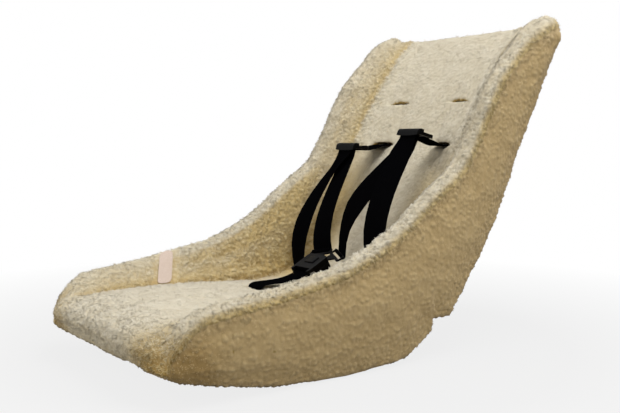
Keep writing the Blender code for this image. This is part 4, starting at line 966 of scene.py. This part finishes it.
def make_hood(side, finish):
    """The grip of an adjuster: a curved plate over the webbing's turn, with a cheek at each end."""
    bm = bmesh.new()
    columns = 16
    verts = [bm.verts.new((-ADJUSTER_HALF_WIDTH, *p)) for p in HOOD]
    rim = [bm.edges.new(pair) for pair in zip(verts, verts[1:])]
    for _ in range(columns):
        made = bmesh.ops.extrude_edge_only(bm, edges=rim)["geom"]
        rim = [g for g in made if isinstance(g, bmesh.types.BMEdge)]
        bmesh.ops.translate(bm, verts=[g for g in made if isinstance(g, bmesh.types.BMVert)],
                            vec=(2 * ADJUSTER_HALF_WIDTH / columns, 0, 0))
    lip, crown = HOOD[-1][1], HOOD[2][1]
    for vert in bm.verts:
        share = max(0.0, (crown - vert.co.z) / (crown - lip))
        vert.co.z -= HOOD_SAG * share * (1 - (vert.co.x / ADJUSTER_HALF_WIDTH) ** 2)
    bmesh.ops.recalc_face_normals(bm, faces=bm.faces)
    if sum(f.normal.z - f.normal.y for f in bm.faces) < 0:
        bmesh.ops.reverse_faces(bm, faces=bm.faces)
    bmesh.ops.solidify(bm, geom=bm.faces, thickness=-HOOD_WALL)
    for sign in (1, -1):
        outer = sign * (ADJUSTER_HALF_WIDTH - 0.0001)
        cheek = bm.faces.new([bm.verts.new((outer, *p)) for p in (*HOOD, *HOOD_FOOT)])
        made = bmesh.ops.extrude_face_region(bm, geom=[cheek])["geom"]
        bmesh.ops.translate(bm, verts=[g for g in made if isinstance(g, bmesh.types.BMVert)],
                            vec=(-sign * CHEEK, 0, 0))
    bmesh.ops.recalc_face_normals(bm, faces=bm.faces)
    at, turn = adjuster_place(side)
    bmesh.ops.transform(bm, matrix=Matrix.Translation(at) @ turn.to_4x4(), verts=bm.verts)
    hood = finished("adjuster_grip_" + side, bm, finish)
    hood.data.set_sharp_from_angle(angle=math.radians(40))
    round_edges(hood, 0.0004, 50)
    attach(hood, "adjuster_" + side)


def make_spring(finish):
    """The cone-shaped coil under the latch, smoothed and fixed to the seat; the real coil flattens as the
    button is pressed, this one does not.
    """
    coil = finished("latch_coil", merged_copy("latch_spring"), finish)
    smooth = coil.modifiers.new("round", "SUBSURF")
    smooth.levels = smooth.render_levels = 1
    coil = applied(coil)
    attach(coil, "seat")
    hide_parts("latch_spring")
    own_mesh(coil)


def make_foams(finish):
    """The foam pads under the covers, cut from slab with softened corners."""
    for node in FOAMS:
        rough = finished(node + "_slab", merged_copy(node), finish)
        make_even(rough, FOAM_GRAIN, FOAM_SOFTENING)
        inset = rough.modifiers.new("inset", "DISPLACE")
        inset.strength = -FOAM_INSET
        inset.mid_level = 0
        pad = applied(rough)
        pad.name = node.replace("foam", "foam_pad")
        pad.data.materials.clear()
        pad.data.materials.append(finish)
        pad.data.shade_smooth()
        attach(pad, "seat")
        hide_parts(node)


def paint(node, finish):
    mesh = NODES[node].data
    mesh.materials.clear()
    mesh.materials.append(finish)


# Studio

def make_camera():
    data = bpy.data.cameras.new("view")
    data.sensor_width = 36.0
    data.lens = FOCAL_PIXELS * 36.0 / IMAGE_WIDTH
    camera = new_object("view", data)
    camera.location = CAMERA_AT
    camera.rotation_euler = (math.pi / 2 - CAMERA_DOWN, 0, CAMERA_AZIMUTH)
    bpy.context.scene.camera = camera


def make_lamp(name, place, target, size, watts, colour):
    data = bpy.data.lights.new(name, "AREA")
    data.shape = "SQUARE"
    data.size = size
    data.energy = watts
    data.color = colour
    lamp = new_object(name, data)
    lamp.location = place
    lamp.rotation_euler = (Vector(target) - Vector(place)).to_track_quat("-Z", "Y").to_euler()


def seen_white(tree, shader, colour):
    """Shows the camera, and glossy surfaces, an even white where the light itself would be dimmer."""
    path = tree.nodes.new("ShaderNodeLightPath")
    seen = tree.nodes.new("ShaderNodeMath")
    seen.operation = "MAXIMUM"
    tree.links.new(path.outputs["Is Camera Ray"], seen.inputs[0])
    tree.links.new(path.outputs["Is Glossy Ray"], seen.inputs[1])
    white = tree.nodes.new("ShaderNodeBackground" if shader.type == "BACKGROUND" else "ShaderNodeEmission")
    white.inputs["Color"].default_value = (*colour, 1)
    mix = tree.nodes.new("ShaderNodeMixShader")
    tree.links.new(seen.outputs[0], mix.inputs[0])
    tree.links.new(shader.outputs[0], mix.inputs[1])
    tree.links.new(white.outputs[0], mix.inputs[2])
    return mix


def make_studio():
    world = bpy.data.worlds.new("studio")
    bpy.context.scene.world = world
    world.use_nodes = True
    tree = world.node_tree
    light = tree.nodes["Background"]
    light.inputs["Strength"].default_value = SKY_LIGHT
    place = tree.nodes.new("ShaderNodeTexCoord").outputs["Generated"]
    height = tree.nodes.new("ShaderNodeSeparateXYZ")
    tree.links.new(place, height.inputs["Vector"])
    ramp = tree.nodes.new("ShaderNodeValToRGB")
    ramp.color_ramp.elements[0].color = (SKY_AT_HORIZON, SKY_AT_HORIZON, SKY_AT_HORIZON, 1)
    ramp.color_ramp.elements[1].position = 0.6
    tree.links.new(height.outputs["Z"], ramp.inputs["Fac"])
    tree.links.new(ramp.outputs["Color"], light.inputs["Color"])
    mix = seen_white(tree, light, (1, 1, 1))
    tree.links.new(mix.outputs[0], tree.nodes["World Output"].inputs["Surface"])
    bm = bmesh.new()
    bmesh.ops.create_grid(bm, x_segments=1, y_segments=1, size=4.0)
    floor = finished("studio_floor", bm, floor_finish())
    for lamp in LAMPS:
        make_lamp(*lamp)
    bpy.context.scene.view_settings.view_transform = "Standard"


def floor_finish():
    """Pale floor: it keeps the shadow near the seat and runs out into the white background."""
    finish = Finish("pale_floor", (0.28, 0.28, 0.28), 0.9)
    finish.shader.inputs["Specular IOR Level"].default_value = 0.0
    reach = finish.add("ShaderNodeVectorMath", {"operation": "LENGTH"}, Vector=finish.place).outputs["Value"]
    far = finish.add("ShaderNodeMapRange", Value=reach, From_Min=0.35, From_Max=0.9, To_Min=0.82, To_Max=1.0)
    path = finish.add("ShaderNodeLightPath")
    seen = finish.math("MAXIMUM", path.outputs["Is Camera Ray"], path.outputs["Is Glossy Ray"])
    white = finish.add("ShaderNodeEmission", Color=(1, 1, 1, 1), Strength=1.0)
    mix = finish.add("ShaderNodeMixShader", Fac=finish.math("MULTIPLY", seen, far.outputs["Result"]))
    finish.join(mix.inputs[1], finish.shader.outputs[0])
    finish.join(mix.inputs[2], white.outputs[0])
    finish.join(finish.tree.nodes["Material Output"].inputs["Surface"], mix.outputs[0])
    return finish.material


def make_label():
    bm = merged_copy("care_label")
    bmesh.ops.join_triangles(bm, faces=bm.faces, angle_face_threshold=0.7, angle_shape_threshold=0.7)
    made = finished("label_ribbon", bm, ribbon_finish())
    soft = made.modifiers.new("soft", "SUBSURF")
    soft.levels = soft.render_levels = 3
    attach(made, "seat")
    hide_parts("care_label")


def tape_finish():
    """Black zip tape: close ribs across it and a dull cotton-like surface."""
    finish = Finish("zip_tape_weave", (0.010, 0.010, 0.011), 0.85)
    parts = finish.add("ShaderNodeSeparateXYZ", Vector=finish.place)
    along, up = parts.outputs["X"], parts.outputs["Z"]
    rib = finish.math("SINE", finish.math("MULTIPLY", along, 7800))
    yarn = finish.math("SINE", finish.math("MULTIPLY", up, 9000))
    height = finish.math("MULTIPLY", rib, yarn)
    finish.bump(height, 0.0001, 0.6)
    finish.colour(finish.ramp(finish.math("ADD", finish.math("MULTIPLY", height, 0.5), 0.5),
                              [(0.0, (0.005, 0.005, 0.006)), (1.0, (0.016, 0.016, 0.018))]))
    finish.shader.inputs["Specular IOR Level"].default_value = 0.1
    return finish.material


def beads(bm, size, places):
    """Small rounded beads of one size, lying along the zip's axes."""
    turn = Matrix((Vector((1, 0, 0)), ZIP_ACROSS, ZIP_OUT)).transposed().to_4x4()
    scale = Matrix.Diagonal((*size, 1))
    for along, across, out in places:
        place = ZIP_AT + Vector((along, 0, 0)) + ZIP_ACROSS * across + ZIP_OUT * out
        bmesh.ops.create_icosphere(bm, subdivisions=1, radius=0.5,
                                   matrix=Matrix.Translation(place) @ turn @ scale)


def make_zip():
    tape = tape_finish()
    bm = merged_copy("zip_tape")
    bmesh.ops.dissolve_limit(bm, angle_limit=math.radians(2), verts=bm.verts, edges=bm.edges)
    made = finished("zip_tape_woven", bm, tape)
    made.data.shade_flat()
    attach(made, "seat")
    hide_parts("zip_tape")
    nylon = moulded_finish()
    nylon.name = "nylon_coil"
    for number, node in enumerate(("zip_coil_lower", "zip_coil_upper")):
        count = int(2 * TEETH_HALF / TOOTH_PITCH)
        bm = bmesh.new()
        row = (number * 2 - 1) * TOOTH_ROW
        beads(bm, TOOTH, [(-TEETH_HALF + (i + 0.5 * number) * TOOTH_PITCH, row, TOOTH_OUT)
                          for i in range(count)])
        teeth = finished(node.replace("coil", "teeth"), bm, nylon)
        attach(teeth, "seat")
        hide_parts(node)
    bm = bmesh.new()
    lift = max((v.co - ZIP_AT).dot(ZIP_OUT) for v in made.data.vertices)
    count = int(2 * TEETH_HALF / STITCH_PITCH)
    beads(bm, STITCH, [(-TEETH_HALF + i * STITCH_PITCH, side * STITCH_ROW, lift)
                       for side in (-1, 1) for i in range(count)])
    stitches = finished("zip_stitching", bm, tape)
    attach(stitches, "seat")


def main():
    make_camera()
    make_studio()
    finishes = make_finishes()
    webbing = webbing_finish()
    for node in STRAPS:
        make_strap(node, webbing)
    make_pile(finishes, make_panels(finishes))
    make_label()
    make_zip()
    dress_hardware(finishes)


main()
